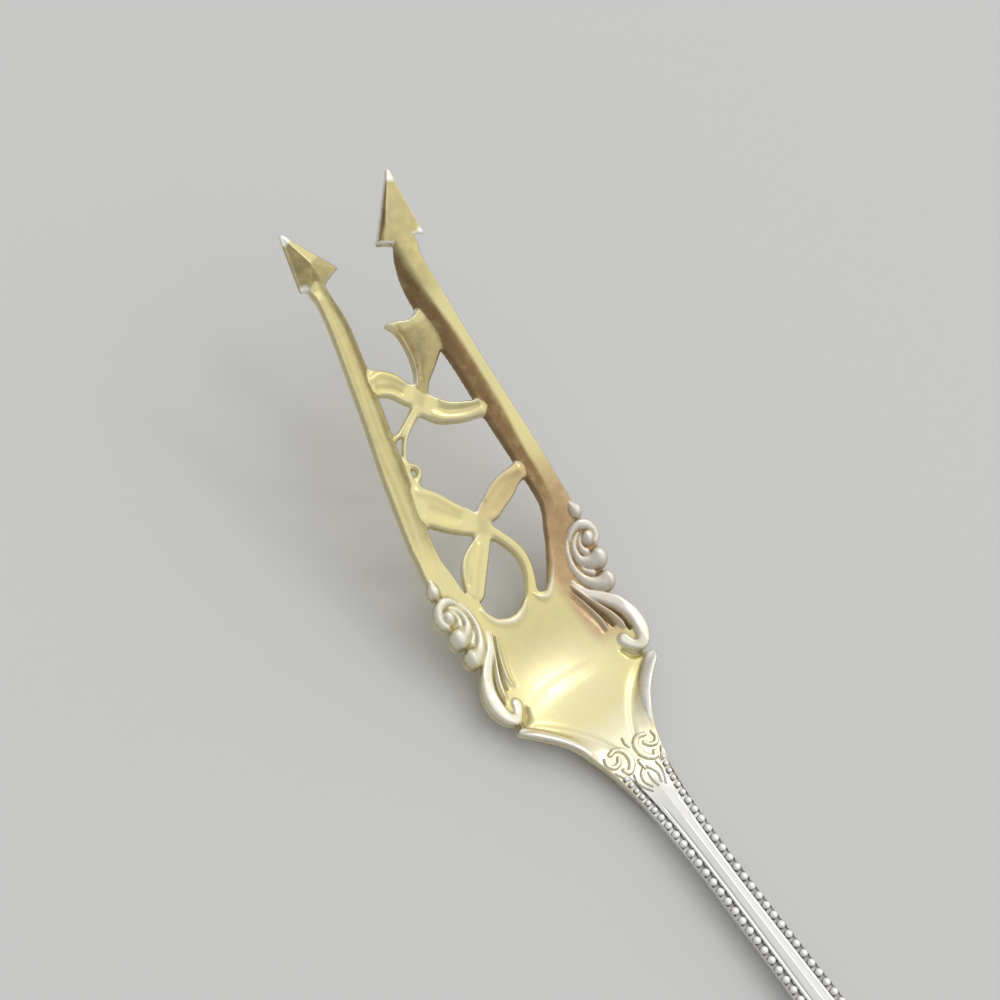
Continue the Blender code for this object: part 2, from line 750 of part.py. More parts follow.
def hub_centre(station, offset):
    """Middle of the small round where the leaves of a sprig meet, flush with the dished face."""
    return at(station, offset, face(station, offset) - LEAF_THICKNESS / 2)


def hub(name, place_of_hub, radius):
    station, offset = place_of_hub
    shape = bmesh.new()
    bmesh.ops.create_cone(shape, cap_ends=True, segments=HUB_SIDES, radius1=radius, radius2=radius,
                          depth=LEAF_THICKNESS)
    mesh = bpy.data.meshes.new(name)
    shape.to_mesh(mesh)
    shape.free()
    centre = hub_centre(station, offset)
    place(name, mesh, "gilt", Matrix.Translation(centre) @ slope_turn(station))
    return centre


def beside_hub(place_of_hub, distance, heading):
    """The point of the dished face at a distance from a hub, along a heading in degrees."""
    turn = math.radians(heading)
    station, offset = place_of_hub
    return hub_centre(station + distance * math.cos(turn), offset + distance * math.sin(turn))


def leaf(name, base, tip, width, tip_width, bow, edge):
    """A flat leaf from its base to its seat, bowed to its left, with its tip along the seat's edge."""
    axis = (tip - base).normalized()
    across = UP.cross(axis).normalized()
    lean = edge.dot(axis) / edge.dot(across)
    reach = (tip - base).length - SEAM * math.hypot(1.0, lean)
    sides = {1: [], -1: []}
    for share in stations(0.0, 1.0, LEAF_STEPS):
        middle = bow * math.sin(math.pi * share)
        half = leaf_half(share, width, tip_width)
        for side, outline in sides.items():
            outline.append(((reach + side * half * lean) * share, middle + side * half))
    lay_leaf(name, base, axis, sides[1] + sides[-1][::-1])


def leaf_half(share, width, tip_width):
    """Half the width of a leaf at a share of its length."""
    straight = mix(LEAF_BASE_WIDTH, tip_width, share)
    return (straight + (width - mix(LEAF_BASE_WIDTH, tip_width, 0.5)) * math.sin(math.pi * share)) / 2


def lay_leaf(name, base, axis, outline):
    """Set a flat leaf at its base, along its axis and level across."""
    across = UP.cross(axis).normalized()
    turn = Matrix((axis, across, axis.cross(across))).transposed().to_4x4()
    place(name, prism(name, outline, LEAF_THICKNESS), "gilt", Matrix.Translation(base) @ turn)


def bud_leaf(centre, radius):
    """A broad leaf that opens towards the points, hollow on its left, with its right along the tine."""
    tip = tine_seat(UPPER_HUB_STATION + BUD_LEAF_REACH, -1) + Vector((0, SEAM + BUD_TIP_WIDTH / 2, 0))
    axis = (tip - centre).normalized()
    across = UP.cross(axis).normalized()
    base = centre + axis * (radius + SEAM)
    length = (tip - base).length
    upper = []
    lower = []
    for share in stations(0.0, 1.0, LEAF_STEPS):
        half = leaf_half(share, BUD_LEAF_WIDTH, BUD_TIP_WIDTH)
        spot = base + axis * (length * share)
        beside = tine_seat(spot.x - across.x * half - NECK_X, -1)
        room = (spot.y - beside.y - SEAM) / across.y
        hollow = BUD_LEAF_HOLLOW * math.sin(math.pi * share)
        upper.append((length * share, mix(LEAF_BASE_WIDTH, BUD_TIP_WIDTH, share) / 2 - hollow))
        lower.append((length * share, -min(half, room)))
    lay_leaf("bud_leaf", base, axis, upper + lower[::-1])


def tine_edge(station, side):
    """Direction of a tine's inner edge at a station."""
    step = TINE_THICKNESS
    return (tine_seat(station + step, side) - tine_seat(station - step, side)).normalized()


def tine_leaf(name, centre, radius, station, width, tip_width, bow):
    """A leaf from a hub to the inner edge of the tine that its name gives."""
    side = SIDES["left" if "left" in name else "right"]
    tip = tine_seat(station, side)
    base = centre + (tip - centre).normalized() * (radius + SEAM)
    leaf(name, base, tip, width, tip_width, side * bow, tine_edge(station, side))


def bent(first, middle, last):
    """Points on a soft curve that starts and ends at two points and is drawn to a third."""
    shares = stations(0.0, 1.0, SCROLL_RINGS)
    return [first.lerp(middle, s).lerp(middle.lerp(last, s), s) for s in shares]


def build_lower_sprig():
    """Three leaves and a curved stem between the bowl and the roots of the tines."""
    radius = LOWER_HUB_RADIUS
    centre = hub("lower_sprig_hub", LOWER_HUB, radius)
    tine_leaf("lower_left_leaf", centre, radius, LOWER_HUB_STATION + LOWER_LEFT_LEAF_REACH,
              LOWER_LEFT_LEAF_WIDTH, LOWER_LEFT_LEAF_TIP, -LOWER_LEFT_LEAF_BOW)
    tine_leaf("lower_right_leaf", centre, radius, LOWER_HUB_STATION + LOWER_RIGHT_LEAF_REACH,
              LOWER_RIGHT_LEAF_WIDTH, LOWER_RIGHT_LEAF_TIP, -LOWER_RIGHT_LEAF_BOW)
    seat_start = hub_centre(LEAF_SEAT_STATION, LEAF_SEAT_OFFSET)
    seat_end = hub_centre(BAY_STATION, BAY_OFFSET + BAY_WIDTH / 2)
    tip = seat_start.lerp(seat_end, 0.5)
    base = centre + (tip - centre).normalized() * (radius + SEAM)
    edge = (seat_end - seat_start).normalized()
    leaf("bowl_leaf", base, tip, BOWL_LEAF_WIDTH, BOWL_LEAF_TIP, 0.0, edge)
    first = beside_hub(LOWER_HUB, radius + SEAM + CURVED_STEM_ROD / 2, CURVED_STEM_HEADING)
    root_offset = SLOT_WIDTH - SLOT_HEEL_OFFSET + CURVED_STEM_ROD
    root = hub_centre(SLOT_HEEL + SEAM + CURVED_STEM_ROD, root_offset)
    middle = hub_centre(mix(LOWER_HUB_STATION, SLOT_HEEL, 0.5), root_offset - CURVED_STEM_SAG)
    rod("curved_stem", bent(first, middle, root), [CURVED_STEM_ROD] * SCROLL_RINGS, "gilt")


def build_upper_sprig():
    """Two leaves, a broad bud leaf and two thin stems between the tines."""
    radius = UPPER_HUB_RADIUS
    centre = hub("upper_sprig_hub", UPPER_HUB, radius)
    tine_leaf("upper_left_leaf", centre, radius, UPPER_HUB_STATION + UPPER_LEFT_LEAF_REACH,
              UPPER_LEFT_LEAF_WIDTH, UPPER_LEFT_LEAF_TIP, -UPPER_LEFT_LEAF_BOW)
    tine_leaf("upper_right_leaf", centre, radius, UPPER_HUB_STATION - UPPER_RIGHT_LEAF_SETBACK,
              UPPER_RIGHT_LEAF_WIDTH, UPPER_RIGHT_LEAF_TIP, UPPER_RIGHT_LEAF_BOW)
    bud_leaf(centre, radius)
    start = radius + SEAM + STEM_ROD / 2
    stem("long_stem", LONG_STEM_SETBACK, start, LONG_STEM_HEADING, LONG_STEM_BEND)
    stem("short_stem", SHORT_STEM_SETBACK, SHORT_STEM_START, SHORT_STEM_HEADING, SHORT_STEM_BEND)


def stem(name, setback, start, heading, bend):
    """A thin stem that leaves the upper hub along a heading, then bends back to the left tine."""
    seat = tine_seat(UPPER_HUB_STATION - setback, 1)
    seat.y -= SEAM + STEM_ROD
    first = beside_hub(UPPER_HUB, start, heading)
    middle = beside_hub(UPPER_HUB, start + bend, heading)
    rod(name, bent(first, middle, seat), [STEM_ROD] * SCROLL_RINGS, "gilt")


def build_side_bud():
    """A small pointed bud on the left tine's inner edge, behind the long stem."""
    seat = tine_seat(UPPER_HUB_STATION - LONG_STEM_SETBACK - SIDE_BUD_SETBACK, 1)
    points = []
    radii = []
    for share in stations(0.0, 1.0, BUD_RINGS):
        points.append(seat - Vector((0, SEAM + SIDE_BUD_LENGTH * share, 0)))
        radii.append(max(SIDE_BUD_RADIUS * math.sqrt(1 - share * share), SIDE_BUD_TIP_RADIUS))
    rod("side_bud", points, radii, "gilt")


build_handle()
build_terminal()
build_beads()
build_neck_ornament()
build_bowl()
build_heel_rims()
build_scrolls()
build_tines()
build_lower_sprig()
build_upper_sprig()
build_side_bud()
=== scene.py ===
import bpy
import numpy as np
from mathutils import Matrix, Vector


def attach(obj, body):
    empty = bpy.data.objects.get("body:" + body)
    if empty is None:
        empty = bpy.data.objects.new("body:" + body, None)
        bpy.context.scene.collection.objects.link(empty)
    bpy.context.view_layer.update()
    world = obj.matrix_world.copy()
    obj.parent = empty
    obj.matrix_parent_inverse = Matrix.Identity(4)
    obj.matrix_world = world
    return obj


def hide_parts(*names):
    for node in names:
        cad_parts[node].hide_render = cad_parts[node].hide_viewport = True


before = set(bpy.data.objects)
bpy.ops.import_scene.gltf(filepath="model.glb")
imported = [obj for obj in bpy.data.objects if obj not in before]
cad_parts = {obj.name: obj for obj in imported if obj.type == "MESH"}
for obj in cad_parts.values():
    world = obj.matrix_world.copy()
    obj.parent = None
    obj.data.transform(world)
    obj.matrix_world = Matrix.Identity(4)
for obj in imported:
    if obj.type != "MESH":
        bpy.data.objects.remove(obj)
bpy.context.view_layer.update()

# Lengths below are in mm: x ahead of the neck line, y to the left, z above the table.
neckX = 15.2  # where the neck line lies in the frame
handleTop = 2.1  # height of the handle's top face
headStart = 1.4  # where the neck's piece ends and the head's begin
farOff = 9.0  # stands for a distance too great to matter
thinStroke = 0.1  # half width given where no stroke is near
strokeMargin, outlineMargin = 1.5, 2.0  # how far past a shape its distance is worked out
tiny = 1e-9  # keeps a division from failing

sweep = {"bend": 12.8, "slope": 0.393, "softness": 5.0}
dish = {"depth": 1.2, "half": 9.2, "start": 1.5, "heel": 7.9, "bow": 1.2, "bowHalf": 7,
        "startSoftness": 0.04, "foldSoftness": 0.03}
heelFacet = {"x": [1.4, 4.0, 6.8], "crease": [2.4, 4.0, 7.2], "rise": 0.5,
             "fadeIn": 3.0, "end": 7.4, "fadeOut": 1.5}
shank = {"half": 2.05, "length": 90.2, "endFlare": 3.0, "heelFlare": 1.8, "heelStop": 7.2, "heelReach": 4.9}


# helpers

def smooth(t):
    # smooth step from 0 to 1: three t squared less two t cubed
    t = np.clip(t, 0.0, 1.0)
    return t * t * (3 - 2 * t)


def rise(values, start, length):
    # smooth step from 0 at start to 1 a length further on
    return smooth((values - start) / length)


def fall(values, end, length):
    # smooth step down to 0 at end, from 1 a length before it
    return smooth((end - values) / length)


def ramp(x):
    # flat along the handle, then a soft bend into an even slope
    u = x - sweep["bend"]
    return handleTop + sweep["slope"] * (np.sqrt(u * u + sweep["softness"] ** 2) + u) / 2


def face(x, y):
    # the ramp, dished along the middle: down a straight heel to a soft bowed fold, level with it at the sides
    t = (x - dish["start"]) / (dish["heel"] - dish["bow"] * np.minimum(np.abs(y) / dish["bowHalf"], 1) ** 2)
    t = (t + np.sqrt(t * t + dish["startSoftness"])) / 2
    heel = (t + 1 - np.sqrt((t - 1) ** 2 + dish["foldSoftness"])) / 2
    return ramp(x) - dish["depth"] * heel * np.maximum(0, 1 - (y / dish["half"]) ** 2)


def heelRise(x, side):
    # facets beside the heel rise from a crease to the rim, and fade out at both ends
    crease = np.interp(x, heelFacet["x"], heelFacet["crease"])
    across = heelFacet["rise"] * smooth((side - crease) / (halfWidth(x) - crease))
    return across * fall(x, heelFacet["end"], heelFacet["fadeOut"]) * smooth(x / heelFacet["fadeIn"])


def halfWidth(x):
    # handle outline: an even half width, a square-law flare to the end and an exponential flare to the heel
    back = shank["endFlare"] * (np.minimum(x, 0) / shank["length"]) ** 2
    ahead = shank["heelFlare"] * np.exp(np.minimum(x, shank["heelStop"]) / shank["heelReach"])
    return shank["half"] + back + ahead


def curve(points, steps=8, closed=False):
    # Catmull-Rom curve through the points, any number of columns, as one array
    p = np.array(points, float)
    if closed:
        p = np.vstack([p[-1], p, p[0], p[1]])
    else:
        p = np.vstack([2 * p[0] - p[1], p, 2 * p[-1] - p[-2]])
    a, b, c, d = p[:-3, None], p[1:-2, None], p[2:-1, None], p[3:, None]
    t = np.linspace(0, 1, steps, endpoint=False)[None, :, None]
    q = 0.5 * (2 * b + (c - a) * t + (2 * a - 5 * b + 4 * c - d) * t ** 2 + (3 * b - a - 3 * c + d) * t ** 3)
    q = q.reshape(-1, p.shape[1])
    return q if closed else np.vstack([q, p[-2]])


def nearBox(x, y, points, margin):
    # True inside the points' box grown by a margin
    low, high = points.min(0) - margin, points.max(0) + margin
    return (x > low[0]) & (x < high[0]) & (y > low[1]) & (y < high[1])


def stroke(x, y, path):
    # distance to a line of points less its half width there, the share of that half width used up,
    # and the half width
    unset = (farOff, farOff, thinStroke)
    field, share, half = (np.full(x.shape, value) for value in unset)
    near = nearBox(x, y, path[:, :2], path[:, 2].max() + strokeMargin)
    px, py = x[near], y[near]
    best, part, wide = (np.full(px.shape, value) for value in unset)
    for a, b in zip(path[:-1], path[1:]):
        d = b - a
        t = np.clip(((px - a[0]) * d[0] + (py - a[1]) * d[1]) / max(d[0] ** 2 + d[1] ** 2, tiny), 0, 1)
        r = a[2] + t * d[2]
        gap = np.hypot(px - a[0] - t * d[0], py - a[1] - t * d[1])
        closer = gap - r < best
        part = np.where(closer, gap / r, part)
        wide = np.where(closer, r, wide)
        best = np.where(closer, gap - r, best)
    field[near], share[near], half[near] = best, part, wide
    return field, share, half


def polygon(x, y, outline):
    # signed distance to a closed outline, negative inside by the even-odd rule
    field = np.full(x.shape, farOff)
    near = nearBox(x, y, outline, outlineMargin)
    px, py = x[near], y[near]
    gap, inside = np.full(px.shape, farOff), np.zeros(px.shape, bool)
    for a, b in zip(outline, np.roll(outline, -1, 0)):
        d = b - a
        t = np.clip(((px - a[0]) * d[0] + (py - a[1]) * d[1]) / max(d @ d, tiny), 0, 1)
        gap = np.minimum(gap, np.hypot(px - a[0] - t * d[0], py - a[1] - t * d[1]))
        if a[1] != b[1]:
            crosses = (a[1] > py) != (b[1] > py)
            inside ^= crosses & (px < a[0] + (py - a[1]) / (b[1] - a[1]) * d[0])
    field[near] = np.where(inside, -gap, gap)
    return field


def edgeDrop(depth, r):
    # how far a rounded edge of radius r falls at a given depth in from the outline
    t = np.clip(depth / r, 0, 1)
    return r * (1 - np.sqrt(np.maximum(0, 1 - (1 - t) ** 2)))


def toFrame(x, y, z):
    # mm from the neck line into the frame's metres
    return np.stack([x + neckX, y, z], -1) * 0.001


def vertexNormals(verts, quads):
    # area-weighted mean of the faces round each vertex
    p = verts[quads]
    n = np.cross(p[:, 2] - p[:, 0], p[:, 3] - p[:, 1])
    total = np.zeros_like(verts)
    for k in range(3):
        total[:, k] = sum(np.bincount(quads[:, c], n[:, k], len(verts)) for c in range(4))
    return total / np.maximum(np.linalg.norm(total, axis=1, keepdims=True), 1e-20)


def addObject(name, data):
    # an object linked into the scene
    obj = bpy.data.objects.new(name, data)
    bpy.context.scene.collection.objects.link(obj)
    return obj


def makePiece(name, verts, quads, normals, marks, material, node):
    # one mesh object from whole arrays; marks are per-vertex values that the material reads
    mesh = bpy.data.meshes.new(name)
    mesh.vertices.add(len(verts))
    mesh.vertices.foreach_set("co", verts.astype(np.float32).ravel())
    mesh.loops.add(quads.size)
    mesh.loops.foreach_set("vertex_index", quads.astype(np.int32).ravel())
    mesh.polygons.add(len(quads))
    mesh.polygons.foreach_set("loop_start", np.arange(0, quads.size, 4, dtype=np.int32))
    mesh.update(calc_edges=True)
    mesh.polygons.foreach_set("use_smooth", np.ones(len(quads), bool))
    for key, values in marks.items():
        mesh.attributes.new(key, "FLOAT", "POINT").data.foreach_set("value", values.astype(np.float32))
    mesh.normals_split_custom_set_from_vertices(normals.astype(np.float32))
    mesh.materials.append(material)
    piece = addObject(name, mesh)
    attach(piece, "root")
    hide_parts(node)
    return piece


# materials

def fill(tree, node, inputs):
    # sets a node's inputs by name or number: sockets are linked, numbers and tuples are stored
    for label, value in inputs.items():
        socket = node.inputs[label]
        if isinstance(value, bpy.types.NodeSocket):
            tree.links.new(value, socket)
        else:
            socket.default_value = value + (1.0,) if socket.type == "RGBA" else value


def addNode(tree, kind, inputs, **settings):
    # a new node, with its settings and then its inputs
    node = tree.nodes.new("ShaderNode" + kind)
    for key, value in settings.items():
        setattr(node, key, value)
    fill(tree, node, inputs)
    return node


def addNoise(tree, coords, scale, detail, rough=0.5):
    # a noise texture's value
    inputs = {"Vector": coords, "Scale": scale, "Detail": detail, "Roughness": rough}
    return addNode(tree, "TexNoise", inputs).outputs["Fac"]


def addRange(tree, value, low, high, toLow=0.0, toHigh=1.0):
    # carries low and high over to toLow and toHigh, and holds the value between them
    inputs = {"Value": value, "From Min": low, "From Max": high, "To Min": toLow, "To Max": toHigh}
    return addNode(tree, "MapRange", inputs).outputs["Result"]


def addMath(tree, how, a, b):
    # a math node on two values, each a number or a socket; sums are held from 0 to 1
    return addNode(tree, "Math", {0: a, 1: b}, operation=how, use_clamp=how == "ADD").outputs[0]


def addMix(tree, share, a, b):
    # a mix of two colours, where the share is b's; the node's colours are its inputs 6 and 7 and its output 2
    return addNode(tree, "Mix", {0: share, 6: a, 7: b}, data_type="RGBA").outputs[2]


def newGroup(name, inputs, outputs):
    # an empty node group with the named sockets
    group = bpy.data.node_groups.new(name, "ShaderNodeTree")
    for label, kind in inputs:
        group.interface.new_socket(label, in_out="INPUT", socket_type=kind)
    for label, kind in outputs:
        group.interface.new_socket(label, in_out="OUTPUT", socket_type=kind)
    return group, group.nodes.new("NodeGroupInput"), group.nodes.new("NodeGroupOutput")


# noise scales, how much rougher soil and painted shade make the metal, and the grain's depth in metres
texture = {"fineScale": 5200.0, "broadScale": 420.0, "patchScale": 900.0, "cloudScale": 160.0,
           "soilAndShadeRoughness": 0.35, "grainDepth": 0.00002}


def satinGroup():
    # polishing grain: the mean of a fine and a broad noise for roughness, the fine one as a height for bump
    group, gin, gout = newGroup("satinGrain", [("Vector", "NodeSocketVector")],
                                [("Roughness", "NodeSocketFloat"), ("Height", "NodeSocketFloat")])
    fine = addNoise(group, gin.outputs["Vector"], texture["fineScale"], detail=3.0, rough=0.6)
    broad = addNoise(group, gin.outputs["Vector"], texture["broadScale"], detail=3.0)
    both = addMath(group, "ADD", *[addMath(group, "MULTIPLY", noise, 0.5) for noise in (fine, broad)])
    fill(group, gout, {"Roughness": addRange(group, both, low=0.3, high=0.7), "Height": fine})
    return group


def patchGroup():
    # breaks an even mask up with noise, so that wear, soil and the painted shade and highlights among them
    # end raggedly
    group, gin, gout = newGroup("ragged", [("Vector", "NodeSocketVector"), ("Mask", "NodeSocketFloat")],
                                [("Mask", "NodeSocketFloat")])
    noise = addNoise(group, gin.outputs["Vector"], texture["patchScale"], detail=4.0, rough=0.6)
    uneven = addRange(group, noise, low=0.3, high=0.7, toLow=0.75, toHigh=1.25)
    shifted = addMath(group, "MULTIPLY", gin.outputs["Mask"], uneven)
    fill(group, gout, {"Mask": addRange(group, shifted, low=0.0, high=1.0)})
    return group


satin, ragged = satinGroup(), patchGroup()


def newMaterial(name):
    # a material with its node tree and its shader
    material = bpy.data.materials.new(name)
    material.use_nodes = True
    return material, material.node_tree, material.node_tree.nodes["Principled BSDF"]


def metal(name, look):
    # a metal whose marks mix in blushed, browned, soiled and worn colours, one over the other; the brown,
    # soil and wear marks also carry painted shade and painted highlights
    material, tree, shader = newMaterial(name)
    coords = addNode(tree, "TexCoord", {}).outputs["Object"]
    grain = addNode(tree, "Group", {"Vector": coords}, node_tree=satin)
    cloud = addRange(tree, addNoise(tree, coords, texture["cloudScale"], detail=3.0), low=0.35, high=0.65)
    colour = addMix(tree, cloud, look["body"], look["cloud"])
    smoothest, roughest = look["roughness"]
    rough = addRange(tree, grain.outputs["Roughness"], 0.0, 1.0, smoothest, roughest)
    for mark in ("blush", "brownAndShade", "soilAndShade", "wearAndSheen"):
        reader = addNode(tree, "Attribute", {}, attribute_name=mark)
        patch = addNode(tree, "Group", {"Vector": coords, "Mask": reader.outputs["Fac"]}, node_tree=ragged)
        colour = addMix(tree, patch.outputs["Mask"], colour, look[mark])
        if mark == "soilAndShade":
            more = addMath(tree, "MULTIPLY", patch.outputs["Mask"], texture["soilAndShadeRoughness"])
            rough = addMath(tree, "ADD", rough, more)
    relief = addNode(tree, "Bump", {"Strength": look["grain"], "Distance": texture["grainDepth"],
                                    "Height": grain.outputs["Height"]})
    fill(tree, shader, {"Metallic": 1.0, "Base Color": colour, "Roughness": rough,
                        "Normal": relief.outputs["Normal"]})
    return material


gilt = metal("gilt", {"body": (0.83, 0.73, 0.35), "cloud": (0.78, 0.7, 0.37), "blush": (0.6, 0.4, 0.22),
                      "brownAndShade": (0.33, 0.21, 0.1), "soilAndShade": (0.19, 0.13, 0.055), "wearAndSheen": (0.96, 0.945, 0.86),
                      "roughness": (0.22, 0.34), "grain": 0.35})
silver = metal("silver", {"body": (0.9, 0.89, 0.86), "cloud": (0.85, 0.84, 0.81),
                          "blush": (0.83, 0.74, 0.38), "brownAndShade": (0.45, 0.36, 0.27),
                          "soilAndShade": (0.24, 0.22, 0.19), "wearAndSheen": (0.95, 0.95, 0.93),
                          "roughness": (0.22, 0.34), "grain": 0.2})
print("materials made")


# the head: one struck sheet on a plan grid, cut up into its pieces

step = 0.09  # spacing of the grid
gridX, gridY = np.meshgrid(np.arange(headStart, 60.6, step), np.arange(-11.7, 11.7, step), indexing="ij")

# along each tine: distance out, half width, lift off the ramp, facets' slopes, the fold's share of the width
tine = {
    "x": [20, 24, 27.5, 34, 40.3, 48.4, 51.6, 52.6],
    "left": {
        "offset": [8.35, 8.22, 8.13, 7.3, 6.41, 5.38, 5.5, 5.7],
        "half": [1.4, 1.42, 1.45, 1.52, 1.45, 1.48, 1.14, 1.04],
        "lift": [-0.25, -0.25, -0.32, -0.2, -0.05, -0.05, -0.12, -0.22],
        "outerSlope": [0.22, 0.22, 0.14, 0.04, 0.06, 0.2, 0.2, 0.12],
        "innerSlope": [0.22, 0.22, 0.24, 0.38, 0.48, 0.8, 0.75, 0.5],
        "fold": [-0.1, -0.1, -0.1, -0.1, -0.1, -0.1, -0.05, 0.0]},
    "right": {
        "offset": [8.35, 8.22, 8.13, 7.3, 6.41, 5.42, 5.42, 5.75],
        "half": [1.4, 1.42, 1.45, 1.52, 1.45, 1.52, 1.38, 1.38],
        "lift": [-0.25, -0.25, -0.32, -0.2, -0.05, -0.02, 0.04, 0.08],
        "outerSlope": [0.22, 0.22, 0.14, 0.04, 0.06, 0.1, -0.06, -0.12],
        "innerSlope": [0.22, 0.22, 0.24, 0.38, 0.48, 0.85, 1.05, 0.95],
        "fold": [-0.1, -0.1, -0.1, -0.1, -0.1, -0.16, -0.48, -0.75]},
    "thickness": 1.05, "edge": 0.22, "softness": 0.06}

bowl = {
    "front": [(24.9, -6.85), (24.2, -6.5), (23.4, -6.05), (22.0, -5.5), (20.0, -4.4), (18.6, -3.45),
        (18.05, -2.75), (18.2, -2.0), (18.5, -1.1), (18.25, 0.1), (17.85, 0.8), (17.6, 1.7), (17.6, 2.6),
        (18.0, 3.8), (18.9, 4.55), (19.9, 4.8), (20.6, 5.15), (21.0, 5.75), (21.6, 6.05), (23.2, 6.25),
        (24.2, 6.55), (24.9, 6.85)],
    "side": [(24.9, 9.55), (23.4, 9.55), (22.0, 9.8), (20.6, 10.3), (19.2, 10.2), (17.9, 9.9), (16.8, 9.3),
        (15.6, 9.5), (14.7, 8.6), (13.2, 9.0), (11.4, 9.6), (9.8, 9.6), (8.6, 9.0), (7.7, 8.4)],
    "heelX": np.linspace(-3.2, 6.8, 15), "thickness": 1.1, "edge": 0.22}

# pierced leaves: an outline each, ridges that stand up and furrows that sink, as x, y, half width
leaves = {
    "bowl_leaf": {
        "outline": [(25.9, 1.0), (25.6, 2.2), (24.7, 4.1), (23.3, 5.2), (21.5, 5.75), (20.6, 5.3),
            (20.2, 4.4), (20.6, 3.8), (21.5, 3.0), (23.0, 1.7), (24.7, 0.3), (25.6, 0.1)],
        "ridges": [([(24.8, 1.8, 0.4), (24.0, 2.6, 0.5), (22.3, 4.1, 0.55), (20.9, 5.1, 0.4)], 0.22)],
        "furrows": [([(25.2, 2.4, 0.3), (23.8, 4.1, 0.4), (22.2, 5.1, 0.35)], 0.14)]},
    "lower_left_leaf": {
        "outline": [(26.0, 1.0), (26.2, 2.0), (27.2, 4.0), (28.5, 6.0), (29.4, 7.3), (31.2, 7.2),
            (32.8, 6.6), (32.5, 5.2), (31.9, 4.4), (31.0, 3.3), (29.5, 2.0), (28.2, 0.7), (27.0, 0.2)],
        "ridges": [
            ([(28.6, 1.9, 0.45), (29.4, 2.6, 0.5), (30.8, 3.9, 0.55), (31.9, 5.6, 0.5)], 0.26),
            ([(27.3, 3.1, 0.5), (27.9, 4.2, 0.6), (29.2, 6.2, 0.6)], 0.15)],
        "furrows": [([(27.9, 2.5, 0.35), (28.6, 3.3, 0.45), (30.1, 5.0, 0.5)], 0.18)]},
    "lower_right_leaf": {
        "outline": [(26.5, -0.4), (26.3, -1.7), (26.8, -3.0), (27.3, -4.3), (28.0, -5.5), (28.6, -6.9),
            (29.8, -6.9), (29.95, -5.5), (29.8, -4.0), (29.4, -2.5), (28.6, -1.0), (28.0, 0.0), (27.2, 0.3)],
        "ridges": [([(28.4, -1.3, 0.42), (29.1, -2.7, 0.48), (29.4, -4.2, 0.5), (29.2, -6.0, 0.45)], 0.26)],
        "furrows": [([(27.2, -1.7, 0.45), (27.5, -2.6, 0.6), (28.1, -4.2, 0.6), (28.6, -5.6, 0.5)], 0.16)]},
    "upper_left_leaf": {
        "outline": [(39.6, 1.0), (39.8, 2.0), (41.0, 3.2), (41.6, 4.5), (42.0, 5.7), (43.8, 5.6),
            (44.4, 4.6), (43.8, 3.3), (43.0, 1.8), (41.6, 0.8), (40.8, 0.1)],
        "ridges": [([(41.6, 1.3, 0.4), (42.4, 2.0, 0.45), (43.3, 3.4, 0.5), (43.2, 4.7, 0.45)], 0.38)],
        "furrows": [([(41.0, 2.0, 0.3), (41.7, 2.8, 0.4), (42.3, 4.3, 0.35)], 0.32)]},
    "upper_right_leaf": {
        "outline": [(38.6, 1.0), (37.0, -0.3), (36.2, -2.0), (35.6, -4.0), (35.4, -6.3), (36.6, -6.4),
            (37.0, -5.2), (37.5, -4.0), (38.2, -2.5), (39.5, -1.0), (39.7, -0.1)],
        "ridges": [
            ([(37.6, -0.3, 0.5), (36.9, -1.2, 0.6), (36.1, -3.2, 0.6), (35.9, -5.2, 0.5)], 0.27),
            ([(38.5, -1.6, 0.3), (37.9, -2.4, 0.35), (37.2, -4.0, 0.35), (36.8, -5.4, 0.35)], 0.24)],
        "furrows": [([(38.0, -1.2, 0.25), (37.4, -2.0, 0.3), (36.75, -3.8, 0.3), (36.4, -5.2, 0.25)], 0.24)]},
    "bud_leaf": {
        "outline": [(39.6, 0.3), (40.6, 0.25), (42.0, -0.45), (43.6, -0.8), (44.8, -0.82), (46.2, -0.55),
            (47.25, 0.15), (47.05, -1.2), (46.7, -2.3), (46.8, -3.2), (47.1, -4.0), (45.5, -4.8),
            (43.6, -4.9), (42.6, -4.2), (41.6, -3.0), (40.6, -1.6), (39.6, -0.6)],
        "ridges": [
            ([(47.0, 0.0, 0.3), (46.85, -1.2, 0.4), (46.65, -2.4, 0.4), (46.8, -3.8, 0.35)], 0.32),
            ([(46.6, -0.1, 0.22), (45.2, -0.55, 0.25), (43.8, -0.9, 0.25), (42.2, -0.65, 0.25),
              (40.8, 0.0, 0.3)], 0.2),
            ([(46.0, -3.0, 0.8), (44.5, -3.4, 1.0), (42.8, -2.8, 0.9), (41.2, -1.5, 0.6)], 0.2)],
        "furrows": [([(45.8, -1.1, 0.5), (44.5, -1.6, 0.7), (43.0, -1.6, 0.6), (41.5, -0.9, 0.35)], 0.4)]}}
blade = {"lift": 0.05, "thickness": 0.9, "edge": 0.3}  # what leaves share

